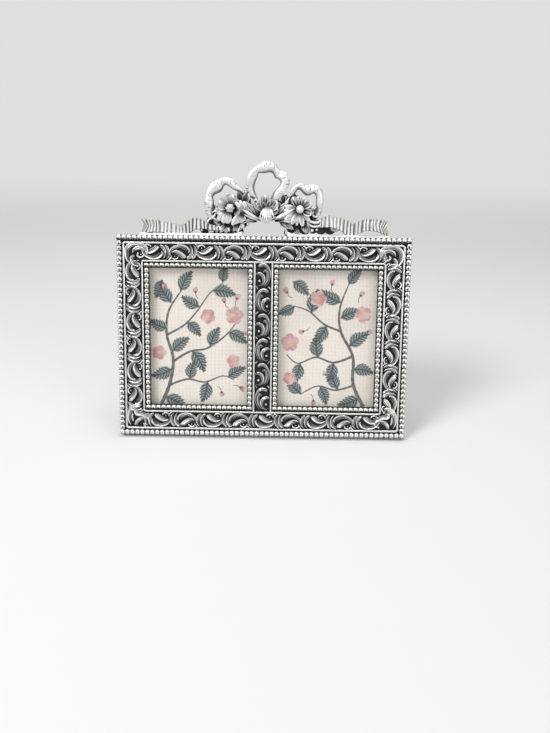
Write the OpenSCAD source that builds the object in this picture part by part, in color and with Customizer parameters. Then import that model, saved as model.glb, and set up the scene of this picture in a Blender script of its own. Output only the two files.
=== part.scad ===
/* [Frame] */
// Width of the frame over its outer beads
frame_w = 112; // [95:1:160]
// Height of the frame without the crest
frame_h = 77.5; // [65:0.5:110]
// Thickness of the casting at the floor of the ornament band
plate_t = 6.4; // [6:0.1:9]
// Width of the ornament band at the left and right
band_side = 6.2; // [4:0.1:9]
// Width of the ornament band at the top and bottom
band_end = 6; // [4:0.1:9]
// Width of the ornament band on the bar between the windows
band_mid = 6; // [4:0.1:9]
// Width of the raised fillet outside the band
outer_fillet_w = 0.8; // [0.5:0.05:1.4]
// Width of the raised fillet inside the band
inner_fillet_w = 0.7; // [0.5:0.05:1.4]
// Height of the fillets above the band's floor
fillet_rise = 0.9; // [0.5:0.05:1.4]
// Width of the dark groove between a fillet and its beads
groove_w = 0.35; // [0.2:0.05:0.8]
// Width of the bare lip between the window beads and the window
lip_w = 0.25; // [0.2:0.05:1]
// Depth of the step that the outer beads sit on, below the band's floor
outer_step = 0.9; // [0.5:0.05:1.2]
// Depth of the step that the window beads sit on, below the band's floor
inner_step = 0.65; // [0.4:0.05:0.9]

/* [Beading] */
// Diameter of an outer bead
outer_bead_d = 2.15; // [1.6:0.05:2.8]
// Distance from one outer bead to the next, before it is evened out
outer_bead_pitch = 1.97; // [1.5:0.01:2.7]
// Diameter of a window bead
inner_bead_d = 1.7; // [1.2:0.05:2.2]
// Distance from one window bead to the next, before it is evened out
inner_bead_pitch = 2; // [1.3:0.01:2.4]
// Depth of the flat that seats the beads
bead_flat = 0.2; // [0.1:0.05:0.4]
// Thickness of the wire that joins the beads
bead_core_d = 0.9; // [0.5:0.05:1.2]

/* [Scroll relief] */
// Length of one scroll before the row is evened out
scroll_pitch = 9.8; // [7:0.1:14]
// Height of the scrolls above the band's floor
scroll_rise = 1.1; // [0.6:0.05:1.5]

/* [Picture stack] */
// Thickness of a pane
glass_t = 1.6; // [1:0.1:2]
// Thickness of a picture's card
print_t = 0.3; // [0.2:0.05:0.5]
// Thickness of the filler card behind a picture
filler_t = 0.6; // [0.4:0.1:1]
// Thickness of the backing board
board_t = 2; // [1.5:0.1:2.5]
// How far a pane reaches behind the window's edge
sight_lap = 2.2; // [1:0.1:2.4]
// Gap round a pane, picture and filler card
pane_clear = 0.2; // [0.1:0.05:0.5]
// Width of the rear rim round the backing board
rim_w = 5; // [4.5:0.1:6]
// Gap round the backing board
board_clear = 0.25; // [0.1:0.05:0.5]

/* [Stance] */
// Lean of the frame from upright, in degrees
lean = 14; // [10:1:18]
// Angle between the frame and its open strut, in degrees
strut_open = 27; // [22:1:30]
// Depth of the flat that the frame's lower edge stands on
foot_flat = 2.4; // [1.5:0.1:3]

/* [Strut and hinge] */
// Distance of the hinge pin below the frame's top edge
pivot_drop = 21.5; // [18:0.5:28]
// Width of the strut at the hinge
strut_top_w = 28; // [25:1:34]
// Width of the strut at its foot
strut_foot_w = 42; // [30:1:54]
// Thickness of the strut
strut_t = 1.5; // [1:0.1:1.8]
// Gap between the top of the strut and the middle of the pin
strut_top_gap = 1.6; // [1.4:0.1:2.5]
// Radius of the strut's upper corners
strut_corner_r = 3; // [1:0.5:6]
// Width of the cut-out in the strut's foot
foot_cut_w = 22; // [10:1:28]
// Height of the cut-out in the strut's foot
foot_cut_h = 3; // [1:0.5:6]
// Diameter of the hinge pin
pin_d = 1.2; // [0.8:0.1:1.6]
// Running gap of the pin in the moving knuckles
pin_run = 0.05; // [0.02:0.01:0.08]
// Thickness of the hinge leaves
leaf_t = 0.5; // [0.4:0.05:0.7]
// Gap between the knuckles and the backing board
knuckle_lift = 0.1; // [0.05:0.05:0.3]
// Width of the moving leaf
hinge_w = 24; // [20:0.5:25]
// Width of the fixed knuckle
fixed_knuckle_w = 8; // [6:0.5:10]
// Width of the fixed leaf
fixed_leaf_w = 14; // [12:0.5:15]
// Gap between knuckles, end to end
knuckle_gap = 0.08; // [0.05:0.01:0.2]
// Height of the fixed leaf above the pin
fixed_leaf_h = 11; // [8:0.5:14]
// Length of the moving leaf below the pin
moving_leaf_h = 13; // [9:0.5:18]
// Width of each heel that stops the strut
heel_w = 4; // [2:0.5:5]
// Height of each heel above the pin
heel_h = 3.2; // [2:0.1:5]
// Gap between a heel and the backing board with the strut open
heel_gap = 0.05; // [0.02:0.01:0.1]
// Diameter of the rivets
rivet_d = 1.6; // [1:0.1:2]
// Diameter of the rivets' heads
rivet_head_d = 3; // [2:0.1:4]
// Height of the rivets' heads
rivet_head_h = 0.7; // [0.4:0.05:1]
// Half the distance between two rivets of the fixed leaf
fixed_rivet_x = 4.5; // [3.5:0.1:5]
// Half the distance between two rivets of the moving leaf
moving_rivet_x = 8.5; // [6:0.1:9.5]

/* [Turn buttons] */
// Length of a turn button
button_l = 9; // [7:0.5:11]
// Width of a turn button
button_w = 4.4; // [3.8:0.1:5]
// Thickness of a turn button
button_t = 0.7; // [0.5:0.05:1]
// Gap under and over a turn button
button_gap = 0.05; // [0.02:0.01:0.1]
// Running gap of a turn button on its screw
button_run = 0.05; // [0.02:0.01:0.1]
// Distance from the frame's edge to the turn buttons' screws
button_inset = 2.4; // [2.2:0.1:2.8]
// Distance of the top turn buttons from the middle
top_button_x = 30; // [20:1:44]
// Height of the side turn buttons above the frame's lower edge
side_button_h = 20; // [14:1:30]
// Diameter of the screws
screw_d = 1.6; // [1.2:0.1:2]
// Length of the screws in the casting
screw_l = 4.2; // [3:0.1:4.6]
// Diameter of the screws' heads
screw_head_d = 3.2; // [2.6:0.1:4]
// Height of the screws' heads
screw_head_h = 0.9; // [0.6:0.05:1.4]
// Width of the screws' slots
screw_slot_w = 0.4; // [0.3:0.05:0.6]
// Depth of the screws' slots
screw_slot_h = 0.4; // [0.2:0.05:0.5]

/* [Crest] */
// Height of the crest above the frame
crest_h = 28.2; // [22:0.2:36]
// Length of the crest from ribbon end to ribbon end
crest_w = 94.5; // [80:0.5:108]
// Width of the ribbon in the bow, seen from the front
bow_ribbon_w = 3.5; // [2.4:0.1:4.5]
// Thickness of the ribbon in the bow
bow_ribbon_t = 1.5; // [1:0.1:2.2]
// Height of the ribbon tails
tail_h = 7; // [5:0.1:9]
// Thickness of the ribbon tails
tail_t = 1.5; // [1:0.1:2.2]
// Distance from one flute of the ribbon to the next
flute_pitch = 1.5; // [1:0.05:2]
// Depth of the ribbon's flutes
flute_h = 0.3; // [0.1:0.05:0.5]
// Height of the strip that the crest stands on
crest_strip_h = 1.1; // [0.8:0.1:2]
// Depth of the strip that the crest stands on
crest_strip_t = 4; // [3:0.1:4.4]
// Distance of the crest from the frame's back
crest_back = 1.2; // [0.6:0.1:2]
// Thickness of the web behind the flowers
crest_web_t = 1.3; // [0.8:0.1:2]
// Width of the arched gap under the bow
arch_w = 17; // [12:0.5:22]
// Distance of the crest's middle to the right of the frame's middle
crest_mid = 0.3; // [-1:0.1:1]

/* [Hidden] */
$fn = 48;
overrun = 1;

// Border strips from the outside in, and the windows that they leave
bead_rebate = outer_bead_d + groove_w;
window_rebate = groove_w + inner_bead_d + lip_w;
border_side = bead_rebate + outer_fillet_w + band_side + inner_fillet_w + window_rebate;
border_end = bead_rebate + outer_fillet_w + band_end + inner_fillet_w + window_rebate;
bar_w = band_mid + 2 * (inner_fillet_w + window_rebate);
window_w = (frame_w - 2 * border_side - bar_w) / 2;
window_h = frame_h - 2 * border_end;
window_x = (bar_w + window_w) / 2;
middle_h = frame_h / 2;

// Levels above the back, towards the viewer
filler_z = board_t;
print_z = filler_z + filler_t;
glass_z = print_z + print_t;
pane_top_z = glass_z + glass_t;
outer_step_z = plate_t - outer_step;
inner_step_z = plate_t - inner_step;

// Floor plane: the lower rear edge is cut level, and the frame is set on the cut
foot_lift = foot_flat * sin(lean) * cos(lean);
foot_shift = foot_lift * (1 / tan(lean) - tan(lean)) / 2;

// Hinge
pivot_h = frame_h - pivot_drop;
knuckle_r = pin_d / 2 + pin_run + leaf_t;
pivot_z = -(knuckle_r + knuckle_lift);
leaf_back_z = pivot_z - knuckle_r;
leaf_end_gap = knuckle_r * 0.3;
strut_l = pivot_h - strut_top_gap + foot_flat;
pin_head_r = pin_d * 0.8;
pin_head_h = pin_d * 0.3;
knuckle_clear = strut_top_gap - pin_run;

gap_x = arch_w / 2;
web_front = crest_back + crest_web_t;

silver = [0.74, 0.73, 0.70];
dark_silver = [0.55, 0.54, 0.52];
steel = [0.68, 0.69, 0.70];
brass = [0.78, 0.66, 0.38];

// Stands the frame on its foot, leaning back. Children: x right, y up the frame, z to the viewer
module stand() translate([0, foot_shift, -foot_lift]) rotate([90 - lean, 0, 0]) children();

// Everything below the surface that the frame stands on
module below_floor() {
    reach = 2 * frame_w;
    translate([-reach / 2, -reach / 2, -reach]) cube([reach, reach, reach]);
}

// Plain box between two levels, centred on x and y
module slab(w, h, z0, z1) translate([-w / 2, -h / 2, z0]) cube([w, h, z1 - z0]);

// Curves: a smooth run through control rows, with steps rows for each span
function blend(a, b, c, d, t) =
    (2 * b + (c - a) * t + (2 * a - 5 * b + 4 * c - d) * t * t
        + (3 * b - 3 * c + d - a) * t * t * t) / 2;
function smooth_run(rows, steps) =
    let (last = len(rows) - 1)
    concat([for (i = [0 : last - 1], s = [0 : steps - 1])
        blend(rows[max(i - 1, 0)], rows[i], rows[i + 1], rows[min(i + 2, last)], s / steps)],
        [rows[last]]);
function along(rows, i) =
    let (d = rows[min(i + 1, len(rows) - 1)] - rows[max(i - 1, 0)])
    [d.x, d.y] / norm([d.x, d.y]);

// Solid skin over rings that have the same number of points
module skin(rings) {
    n = len(rings);
    m = len(rings[0]);
    polyhedron(points = [for (r = rings) each r],
        faces = concat(
            [for (i = [0 : n - 2], j = [0 : m - 1], half = [0, 1])
                let (a = i * m + j, b = i * m + (j + 1) % m)
                half == 0 ? [a, b, b + m] : [a, b + m, a + m]],
            [for (j = [1 : m - 2]) [0, j + 1, j]],
            [for (j = [1 : m - 2]) [(n - 1) * m, (n - 1) * m + j, (n - 1) * m + j + 1]]));
}

// Straight bar of fillet, and the ring of it that turns round corners
module fillet_section(w) {
    translate([-w / 2, -overrun]) square([w, overrun + fillet_rise - w / 2]);
    translate([0, fillet_rise - w / 2]) circle(w / 2);
}
module fillet_bar(w, l) translate([0, -l / 2, plate_t]) rotate([-90, 0, 0])
    linear_extrude(l) mirror([0, 1]) fillet_section(w);
module fillet_ring(w, ring_w, ring_h) {
    for (side = [-1, 1]) {
        translate([side * (ring_w - w) / 2, 0, 0]) fillet_bar(w, ring_h - 3 * w);
        translate([0, side * (ring_h - w) / 2, 0]) rotate([0, 0, 90]) fillet_bar(w, ring_w - 3 * w);
    }
    for (turn = [0 : 3]) {
        x = ring_w / 2 - 3 * w / 2;
        y = ring_h / 2 - 3 * w / 2;
        translate([(turn == 0 || turn == 3 ? x : -x), (turn < 2 ? y : -y), plate_t])
            rotate([0, 0, 90 * turn]) rotate_extrude(angle = 90) translate([w, 0]) fillet_section(w);
    }
}

module frame_windows(extra, z0, z1)
    for (side = [-1, 1]) translate([side * window_x, middle_h, 0])
        slab(window_w + 2 * extra, window_h + 2 * extra, z0, z1);

module casting_blank() {
    outer_ring_w = frame_w - 2 * bead_rebate;
    outer_ring_h = frame_h - 2 * bead_rebate;
    inner_ring_w = outer_ring_w - 2 * (outer_fillet_w + band_side);
    inner_ring_h = outer_ring_h - 2 * (outer_fillet_w + band_end);
    translate([0, middle_h, 0]) {
        slab(frame_w, frame_h, 0, outer_step_z);
        slab(outer_ring_w, outer_ring_h, outer_step_z - overrun, plate_t);
        fillet_ring(outer_fillet_w, outer_ring_w, outer_ring_h);
        fillet_ring(inner_fillet_w, inner_ring_w, inner_ring_h);
        for (side = [-1, 1]) translate([side * (band_mid + inner_fillet_w) / 2, 0, 0])
            fillet_bar(inner_fillet_w, inner_ring_h - inner_fillet_w);
    }
}

module front_frame() color(silver) difference() {
    stand() difference() {
        casting_blank();
        frame_windows(0, -overrun, plate_t + overrun);
        frame_windows(window_rebate, inner_step_z, plate_t + fillet_rise + overrun);
        frame_windows(sight_lap, -overrun, pane_top_z);
        translate([0, middle_h, 0])
            slab(frame_w - 2 * rim_w, frame_h - 2 * rim_w, -overrun, board_t);
        at_screws() cylinder(d = screw_d, h = 2 * screw_l, center = true);
    }
    below_floor();
}

// Beads along x, from the first bead's middle, joined by a thin wire and seated on a flat
module bead_row(count, pitch, d, skip_ends = false) {
    run = (count - 1) * pitch;
    first = skip_ends ? 1 : 0;
    difference() {
        rotate([0, 90, 0]) rotate_extrude() intersection() {
            union() {
                for (i = [first : count - 1 - first]) translate([0, i * pitch]) circle(d = d);
                square([bead_core_d / 2, run]);
            }
            translate([0, -d]) square([d, run + 2 * d]);
        }
        translate([-d, -d, -d - d / 2 + bead_flat]) cube([run + 2 * d, 2 * d, d]);
    }
}
module bead_ring(ring_w, ring_h, d, pitch) {
    across = round((ring_w - d) / pitch) + 1;
    up = round((ring_h - d) / pitch) + 1;
    for (side = [-1, 1]) {
        translate([-(ring_w - d) / 2, side * (ring_h - d) / 2, 0])
            bead_row(across, (ring_w - d) / (across - 1), d);
        translate([side * (ring_w - d) / 2, -(ring_h - d) / 2, 0]) rotate([0, 0, 90])
            bead_row(up, (ring_h - d) / (up - 1), d, true);
    }
}
module outer_beading() color(silver) stand()
    translate([0, middle_h, outer_step_z + outer_bead_d / 2 - bead_flat])
        bead_ring(frame_w, frame_h, outer_bead_d, outer_bead_pitch);
module window_beading(side) color(silver) stand()
    translate([side * window_x, middle_h, inner_step_z + inner_bead_d / 2 - bead_flat])
        bead_ring(window_w + 2 * (lip_w + inner_bead_d), window_h + 2 * (lip_w + inner_bead_d),
            inner_bead_d, inner_bead_pitch);
module left_window_beading() window_beading(-1);
module right_window_beading() window_beading(1);

// One scroll of the relief. Control rows: place along, place across, half width (all shares)
sweep_shares = [[0.06, -0.40, 0.07], [0.09, 0.04, 0.13], [0.40, 0.36, 0.13], [0.80, 0.20, 0.17],
    [0.90, -0.36, 0.07]];
curl_shares = [[0.17, -0.09, 0.08], [0.36, 0.05, 0.12], [0.55, -0.13, 0.12], [0.60, -0.43, 0.04]];
sprig_shares = [[0.93, 0.48, 0.04], [0.965, 0.38, 0.05], [0.96, 0.27, 0.02]];
eye_shares = [0.27, -0.32, 0.12];

// A leaf of the relief: half-round across, seated on the band's floor
module relief_leaf(shares, unit_l, unit_w, rise, steps, points) {
    rows = [for (r = smooth_run(shares, steps)) [r.x * unit_l, r.y * unit_w, r.z * unit_w]];
    last = len(rows) - 1;
    skin([for (i = [0 : last])
        let (t = along(rows, i), top = rise * (0.55 + 0.45 * sin(180 * i / last)))
        [for (k = [0 : points - 1])
            let (a = 180 * k / (points - 1), off = -rows[i].z * cos(a))
            [rows[i].x - t.y * off, rows[i].y + t.x * off, plate_t + top * sin(a)]]]);
}
module scroll(unit_l, unit_w) {
    relief_leaf(sweep_shares, unit_l, unit_w, scroll_rise, 2, 4);
    relief_leaf(curl_shares, unit_l, unit_w, scroll_rise * 0.85, 2, 4);
    relief_leaf(sprig_shares, unit_l, unit_w, scroll_rise * 0.6, 1, 3);
    r = eye_shares.z * unit_w;
    translate([eye_shares.x * unit_l, eye_shares.y * unit_w, plate_t]) hull() {
        cylinder(r = r, h = scroll_rise * 0.3, $fn = 6);
        cylinder(r = r / 2, h = scroll_rise * 0.7, $fn = 6);
    }
}
module scroll_row(run, unit_w, flip_first) {
    count = max(2, round(run / scroll_pitch));
    unit_l = run / count;
    for (i = [0 : count - 1]) translate([i * unit_l - run / 2, 0, 0])
        mirror([0, (i + flip_first) % 2, 0]) scroll(unit_l, unit_w);
}
module corner_spray(w, h) {
    spray_shares = [[-0.32, 0.30, 0.09], [0.02, 0.24, 0.13], [0.22, -0.02, 0.11], [0.26, -0.34, 0.05]];
    relief_leaf(spray_shares, w, h, scroll_rise, 2, 4);
    shoot_shares = [[-0.36, -0.36, 0.04], [-0.16, -0.16, 0.13], [0, 0, 0.09]];
    relief_leaf(shoot_shares, w, h, scroll_rise * 0.8, 1, 4);
}
module border_scrolls() {
    band_w = frame_w - 2 * (bead_rebate + outer_fillet_w);
    band_h = frame_h - 2 * (bead_rebate + outer_fillet_w);
    mid_x = (band_w - band_side) / 2;
    mid_y = (band_h - band_end) / 2;
    color(dark_silver) stand() translate([0, middle_h, 0]) {
        for (side = [-1, 1]) {
            translate([0, side * mid_y, 0])
                scroll_row(band_w - 2 * band_side, band_end, side < 0 ? 1 : 0);
            translate([side * mid_x, 0, 0]) rotate([0, 0, -90 * side])
                scroll_row(band_h - 2 * band_end, band_side, 0);
        }
        for (x = [0, 1], y = [0, 1]) mirror([x, 0, 0]) mirror([0, y, 0])
            translate([mid_x, mid_y, 0]) corner_spray(band_side, band_end);
    }
}
module centre_scrolls() color(dark_silver) stand() translate([0, middle_h, 0]) rotate([0, 0, -90])
    scroll_row(window_h + 2 * window_rebate, band_mid, 0);

// Bow ribbon. Control rows: x, y and depth as shares of crest_h, width as a share of bow_ribbon_w
bow_shares = [[0.02, 0.3, 0.16, 0.73], [-0.12, 0.51, 0.135, 0.97], [-0.195, 0.68, 0.15, 1.01],
    [-0.13, 0.825, 0.205, 1.01], [0.015, 0.935, 0.22, 1.05], [0.155, 0.845, 0.17, 1.01],
    [0.25, 0.75, 0.145, 0.97], [0.235, 0.635, 0.175, 0.97], [0.135, 0.47, 0.21, 0.89],
    [0.04, 0.33, 0.175, 0.73]];
left_loop_shares = [[-0.035, 0.365, 0.1, 0.64], [-0.205, 0.52, 0.125, 0.81],
    [-0.36, 0.655, 0.165, 0.97], [-0.53, 0.725, 0.185, 1.01], [-0.665, 0.615, 0.155, 1.01],
    [-0.74, 0.445, 0.17, 0.97], [-0.685, 0.295, 0.14, 0.89], [-0.53, 0.215, 0.13, 0.64]];
right_loop_shares = [[0.055, 0.355, 0.12, 0.64], [0.265, 0.495, 0.145, 0.81],
    [0.38, 0.615, 0.165, 0.85], [0.525, 0.67, 0.175, 0.85], [0.625, 0.65, 0.125, 0.85],
    [0.725, 0.555, 0.175, 0.97], [0.74, 0.385, 0.185, 0.93], [0.685, 0.265, 0.15, 0.81],
    [0.55, 0.23, 0.13, 0.64]];

// A fluted ribbon: the rings alternate between the top and the foot of a flute
module fluted_ribbon(shares) {
    span = crest_h * norm([shares[1].x - shares[0].x, shares[1].y - shares[0].y]);
    steps = max(2, 2 * round(span / flute_pitch));
    rows = [for (r = smooth_run(shares, steps))
        [r.x * crest_h, r.y * crest_h, r.z * crest_h, r[3] * bow_ribbon_w]];
    skin([for (i = [0 : len(rows) - 1])
        let (r = rows[i], t = along(rows, i), flute = (i % 2) * flute_h,
            w = r[3] - flute, front = r.z + bow_ribbon_t / 2 - flute,
            roll = bow_ribbon_t * 0.25, rear = r.z - bow_ribbon_t / 2)
        [for (p = [[-w / 2, rear + roll * 0.5], [-w / 2, front - roll * 1.6],
                [0, front], [w / 2, front - roll], [w / 2, rear]])
            [r.x - t.y * p.x, r.y + t.x * p.x, p.y]]]);
}

// Ribbon tail. Control rows: place along, lower edge and upper edge as shares of tail_h, depth
left_tail_shares = [[1, 0.04, 0.98, 0.55], [0.94, 0.15, 0.98, 0.70], [0.87, 0.23, 0.91, 0.80],
    [0.79, 0.09, 0.83, 0.66], [0.70, 0.02, 0.66, 0.50], [0.64, 0.04, 0.74, 0.56],
    [0.59, 0.22, 1.0, 0.72], [0.55, 0.40, 1.06, 0.80], [0.50, 0.46, 0.93, 0.72],
    [0.44, 0.42, 0.76, 0.60], [0.38, 0.44, 0.74, 0.50]];
right_tail_shares = [[1, 0.15, 0.96, 0.55], [0.95, 0.29, 1.05, 0.66], [0.89, 0.43, 1.13, 0.78],
    [0.83, 0.46, 1.13, 0.80], [0.77, 0.24, 1.02, 0.66], [0.715, 0.04, 0.83, 0.50],
    [0.66, 0.05, 1.0, 0.56], [0.61, 0.42, 1.2, 0.72], [0.55, 0.60, 1.2, 0.80],
    [0.50, 0.62, 1.26, 0.74], [0.43, 0.60, 1.1, 0.60]];
notch_share = 0.035;
module fluted_tail(shares, side) {
    span = (shares[0].x - shares[1].x) * crest_w / 2;
    steps = max(2, 2 * round(span / flute_pitch));
    rows = [for (r = smooth_run(shares, steps)) [r.x * crest_w / 2, r.y * tail_h, r.z * tail_h, r[3] * tail_h]];
    rings = [for (i = [0 : len(rows) - 1])
        let (r = rows[i], back = (i == 0 ? notch_share * crest_w / 2 : 0),
            front = crest_back + r[3] - (i % 2) * flute_h, rear = crest_back + r[3] - tail_t,
            mid = (r.y + r.z) / 2, bulge = tail_t * 0.2)
        [[r.x, r.y, rear], [r.x - back, mid, rear + bulge], [r.x, r.z, rear],
            [r.x, r.z, front], [r.x - back, mid, front - bulge], [r.x, r.y, front]]];
    mirror([side < 0 ? 1 : 0, 0, 0]) skin(rings);
}

// A leaf along x, rising to the viewer: a creased blade of four-point rings
module blade(l, w, rise, thick) {
    profile_shares = [[0, 0.35, 0, 0.3], [0.32, 0.92, 0.5, 0.36], [0.68, 0.86, 0.95, 0.52], [1, 0.15, 1, 0.2]];
    skin([for (p = profile_shares)
        let (x = p.x * l, hw = p.y * w / 2, z = p.z * rise, crease = thick * p[3])
        [[x, hw, z], [x, -hw * 0.1, z - thick], [x, -hw, z + crease * 0.2], [x, hw * 0.15, z + crease]]]);
}
// A leaf from one point of the crest to another, given as shares of crest_h
module leaf_between(a, b, w_share, rise_share) {
    d = (b - a) * crest_h;
    w = w_share * crest_h;
    translate([a.x * crest_h, a.y * crest_h, web_front]) rotate([0, 0, atan2(d.y, d.x)])
        blade(norm(d), w, rise_share * crest_h, w * 0.6);
}
module berry(shares) {
    r = shares.z * crest_h;
    translate([shares.x * crest_h, shares.y * crest_h, web_front + shares[3] * crest_h]) hull() {
        translate([0, 0, -1.2 * r]) cylinder(r = r * 0.8, h = r / 4, $fn = 7);
        sphere(r = r, $fn = 7);
    }
}

// A ring of petals in one skin: scalloped, cupped and creased, round an axis to the viewer
module petal_ring(petals, r, rise, thick, notch, root, stretch = 0) {
    count = petals * 4;
    level_shares = [[0.34, 0, 0], [0.75, 0.1, 0.5], [1, 0.75, 1], [0.72, 0.72, 0.8], [0.34, 0.3, 0]];
    skin([for (i = [0 : len(level_shares) - 1])
        let (v = level_shares[i])
        [for (k = [0 : count - 1])
            let (a = -360 * k / count, lobe = abs(sin(petals * a / 2)),
                out = r * v.x * (1 - v.z * notch * (1 - lobe)) * (1 - stretch * sin(a)),
                up = i == 0 ? -root : rise * v.y - thick * v.z * 0.5 * (1 - lobe))
            [out * cos(a), out * sin(a), up]]]);
}

// A fan of lobes or gathered pleats, spread between two angles round its root
module pleated_fan(from, to, pleats, r_in, r_out, rise, thick, scallop) {
    count = pleats * 2;
    level_shares = [1, 0.7, 0.35, 0];
    skin([for (k = [0 : count])
        let (a = from + (to - from) * k / count, fold = (k + 1) % 2,
            dip = thick * 0.45 * fold, end = r_out * (1 - scallop * fold))
        concat(
            [for (v = level_shares)
                let (r = r_in + (end - r_in) * v)
                [r * cos(a), r * sin(a), rise * v * (1.5 - 0.5 * v) - dip * v]],
            [[r_in * cos(a), r_in * sin(a), -thick], [end * cos(a), end * sin(a), rise - thick]])]);
}

rose_place = [-0.445, 0.345];
daisy_place = [0.485, 0.38];
knot_place = [0.02, 0.33];
bud_place = [-0.36, 0.245];

module rose() translate([rose_place.x * crest_h, rose_place.y * crest_h, web_front]) {
    r = 0.185 * crest_h;
    rotate([0, 0, 20]) petal_ring(6, r, 0.5 * r, 0.3 * r, 0.2, crest_web_t / 2);
    translate([0.05 * r, 0, 0.4 * r]) rotate([0, 0, -10])
        petal_ring(5, 0.66 * r, 0.42 * r, 0.25 * r, 0.2, 0.45 * r);
    translate([0.05 * r, 0.03 * r, 0.75 * r]) rotate([0, 0, 30])
        petal_ring(4, 0.36 * r, 0.35 * r, 0.2 * r, 0.2, 0.4 * r);
}
module daisy() translate([daisy_place.x * crest_h, daisy_place.y * crest_h, web_front]) {
    r = 0.175 * crest_h;
    petal_ring(11, r, 0.42 * r, 0.35 * r, 0.42, crest_web_t / 2, 0.14);
    hull() {
        cylinder(r = r * 0.32, h = r * 0.4, $fn = 9);
        cylinder(r = r * 0.17, h = r * 0.66, $fn = 9);
    }
}
module bell_flower() translate([knot_place.x * crest_h, knot_place.y * crest_h, web_front]) {
    r = 0.11 * crest_h;
    translate([0, 0, 0.5 * r]) pleated_fan(35, 145, 4, 0.3 * r, 2 * r, 0.75 * r, 0.5 * r, 0.16);
    translate([0, 0, 0.4 * r]) pleated_fan(225, 315, 4, 0.2 * r, 1.55 * r, 0.3 * r, 0.6 * r, 0.1);
    hull() {
        translate([0, -r * 0.2, 0]) cylinder(r = r * 0.85, h = r * 0.62, $fn = 9);
        translate([0, -r * 0.1, 0]) cylinder(r = r * 0.5, h = r * 1.35, $fn = 7);
    }
}
module rosebud() translate([bud_place.x * crest_h, bud_place.y * crest_h, web_front]) {
    r = 0.085 * crest_h;
    translate([0, 0, 0.05 * r]) rotate([0, 0, -150])
        pleated_fan(-50, 50, 3, 0.2 * r, 1.5 * r, 0.8 * r, 0.6 * r, 0.15);
}
// Leaves of the crest: from x and y, to x and y, width, rise, all as shares of crest_h
leaf_shares = [[-0.065, 0.245, -0.325, 0.335, 0.055, 0.028],
    [-0.07, 0.23, -0.395, 0.245, 0.06, 0.028], [-0.08, 0.27, -0.265, 0.415, 0.06, 0.021],
    [0.095, 0.23, 0.335, 0.35, 0.055, 0.028], [0.105, 0.215, 0.34, 0.265, 0.06, 0.028],
    [0.12, 0.305, 0.305, 0.465, 0.06, 0.021], [-0.17, 0.19, -0.305, 0.115, 0.075, 0.028],
    [0.18, 0.205, 0.4, 0.095, 0.085, 0.028], [-0.465, 0.25, -0.68, 0.2, 0.1, 0.028],
    [0.505, 0.21, 0.595, 0.055, 0.1, 0.032], [0.605, 0.235, 0.765, 0.185, 0.09, 0.032]];
// Berries of the crest: x, y, radius and height over the web, as shares of crest_h
berry_shares = [[-0.715, 0.09, 0.058, 0.021], [-0.585, 0.11, 0.038, 0.021],
    [-0.475, 0.10, 0.038, 0.021], [-0.39, 0.12, 0.038, 0.021], [0.92, 0.18, 0.045, 0.106],
    [0.985, 0.15, 0.038, 0.106]];
module foliage() {
    for (v = leaf_shares) leaf_between([v[0], v[1]], [v[2], v[3]], v[4], v[5]);
    for (v = berry_shares) berry(v);
}
// Flat web that ties flowers, leaves and ribbons together behind
web_shares = [[-0.445, 0.33, 0.17], [-0.30, 0.25, 0.09], [-0.17, 0.245, 0.065], [0.02, 0.30, 0.11],
    [0.19, 0.265, 0.065], [0.31, 0.28, 0.09], [0.485, 0.35, 0.155], [-0.70, 0.20, 0.09],
    [-0.585, 0.17, 0.09], [-0.72, 0.08, 0.07], [-0.60, 0.07, 0.06], [-0.47, 0.12, 0.08],
    [-0.37, 0.10, 0.065], [0.36, 0.13, 0.07], [0.57, 0.15, 0.08], [0.66, 0.24, 0.08],
    [0.80, 0.22, 0.09], [0.92, 0.16, 0.09]];
module crest_web() translate([0, 0, crest_back]) linear_extrude(crest_web_t) difference() {
    union() for (w = web_shares) translate([w.x, w.y] * crest_h) circle(r = w.z * crest_h, $fn = 12);
    translate([-crest_w, -crest_w]) square([2 * crest_w, crest_w]);
}
module crest_strip(side) {
    end = side < 0 ? -crest_w / 2 : gap_x;
    run = crest_w / 2 - gap_x;
    step_w = crest_strip_h;
    translate([end, 0, crest_back]) cube([run, crest_strip_h, crest_strip_t]);
    inner = side < 0 ? -gap_x - step_w : gap_x;
    hull() {
        translate([inner, 0, crest_back]) cube([step_w, 2 * crest_strip_h, crest_strip_t * 0.8]);
        translate([inner - side * step_w, 0, crest_back])
            cube([step_w, crest_strip_h, crest_strip_t * 0.8]);
    }
}
module crest() color(silver) stand() translate([crest_mid, frame_h, 0]) {
    fluted_ribbon(left_loop_shares);
    fluted_ribbon(right_loop_shares);
    fluted_ribbon(bow_shares);
    for (side = [-1, 1]) crest_strip(side);
    fluted_tail(left_tail_shares, -1);
    fluted_tail(right_tail_shares, 1);
    crest_web();
    rose();
    daisy();
    bell_flower();
    rosebud();
    foliage();
}

// Panes, pictures, filler cards and the backing board
module pane_slab(side, z0, thick) translate([side * window_x, middle_h, 0])
    slab(window_w + 2 * (sight_lap - pane_clear), window_h + 2 * (sight_lap - pane_clear),
        z0, z0 + thick);
module left_glass() color([0.8, 0.9, 0.92, 0.35]) stand() pane_slab(-1, glass_z, glass_t);
module right_glass() color([0.8, 0.9, 0.92, 0.35]) stand() pane_slab(1, glass_z, glass_t);
module left_print() color([0.93, 0.90, 0.84]) stand() pane_slab(-1, print_z, print_t);
module right_print() color([0.93, 0.90, 0.84]) stand() pane_slab(1, print_z, print_t);
module left_filler_card() color([0.72, 0.66, 0.55]) stand() pane_slab(-1, filler_z, filler_t);
module right_filler_card() color([0.72, 0.66, 0.55]) stand() pane_slab(1, filler_z, filler_t);
module backing_board() color([0.12, 0.12, 0.14]) stand() difference() {
    translate([0, middle_h, 0]) slab(frame_w - 2 * (rim_w + board_clear),
        frame_h - 2 * (rim_w + board_clear), 0, board_t);
    at_board_rivets() cylinder(d = rivet_d, h = 4 * board_t, center = true);
}

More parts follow.
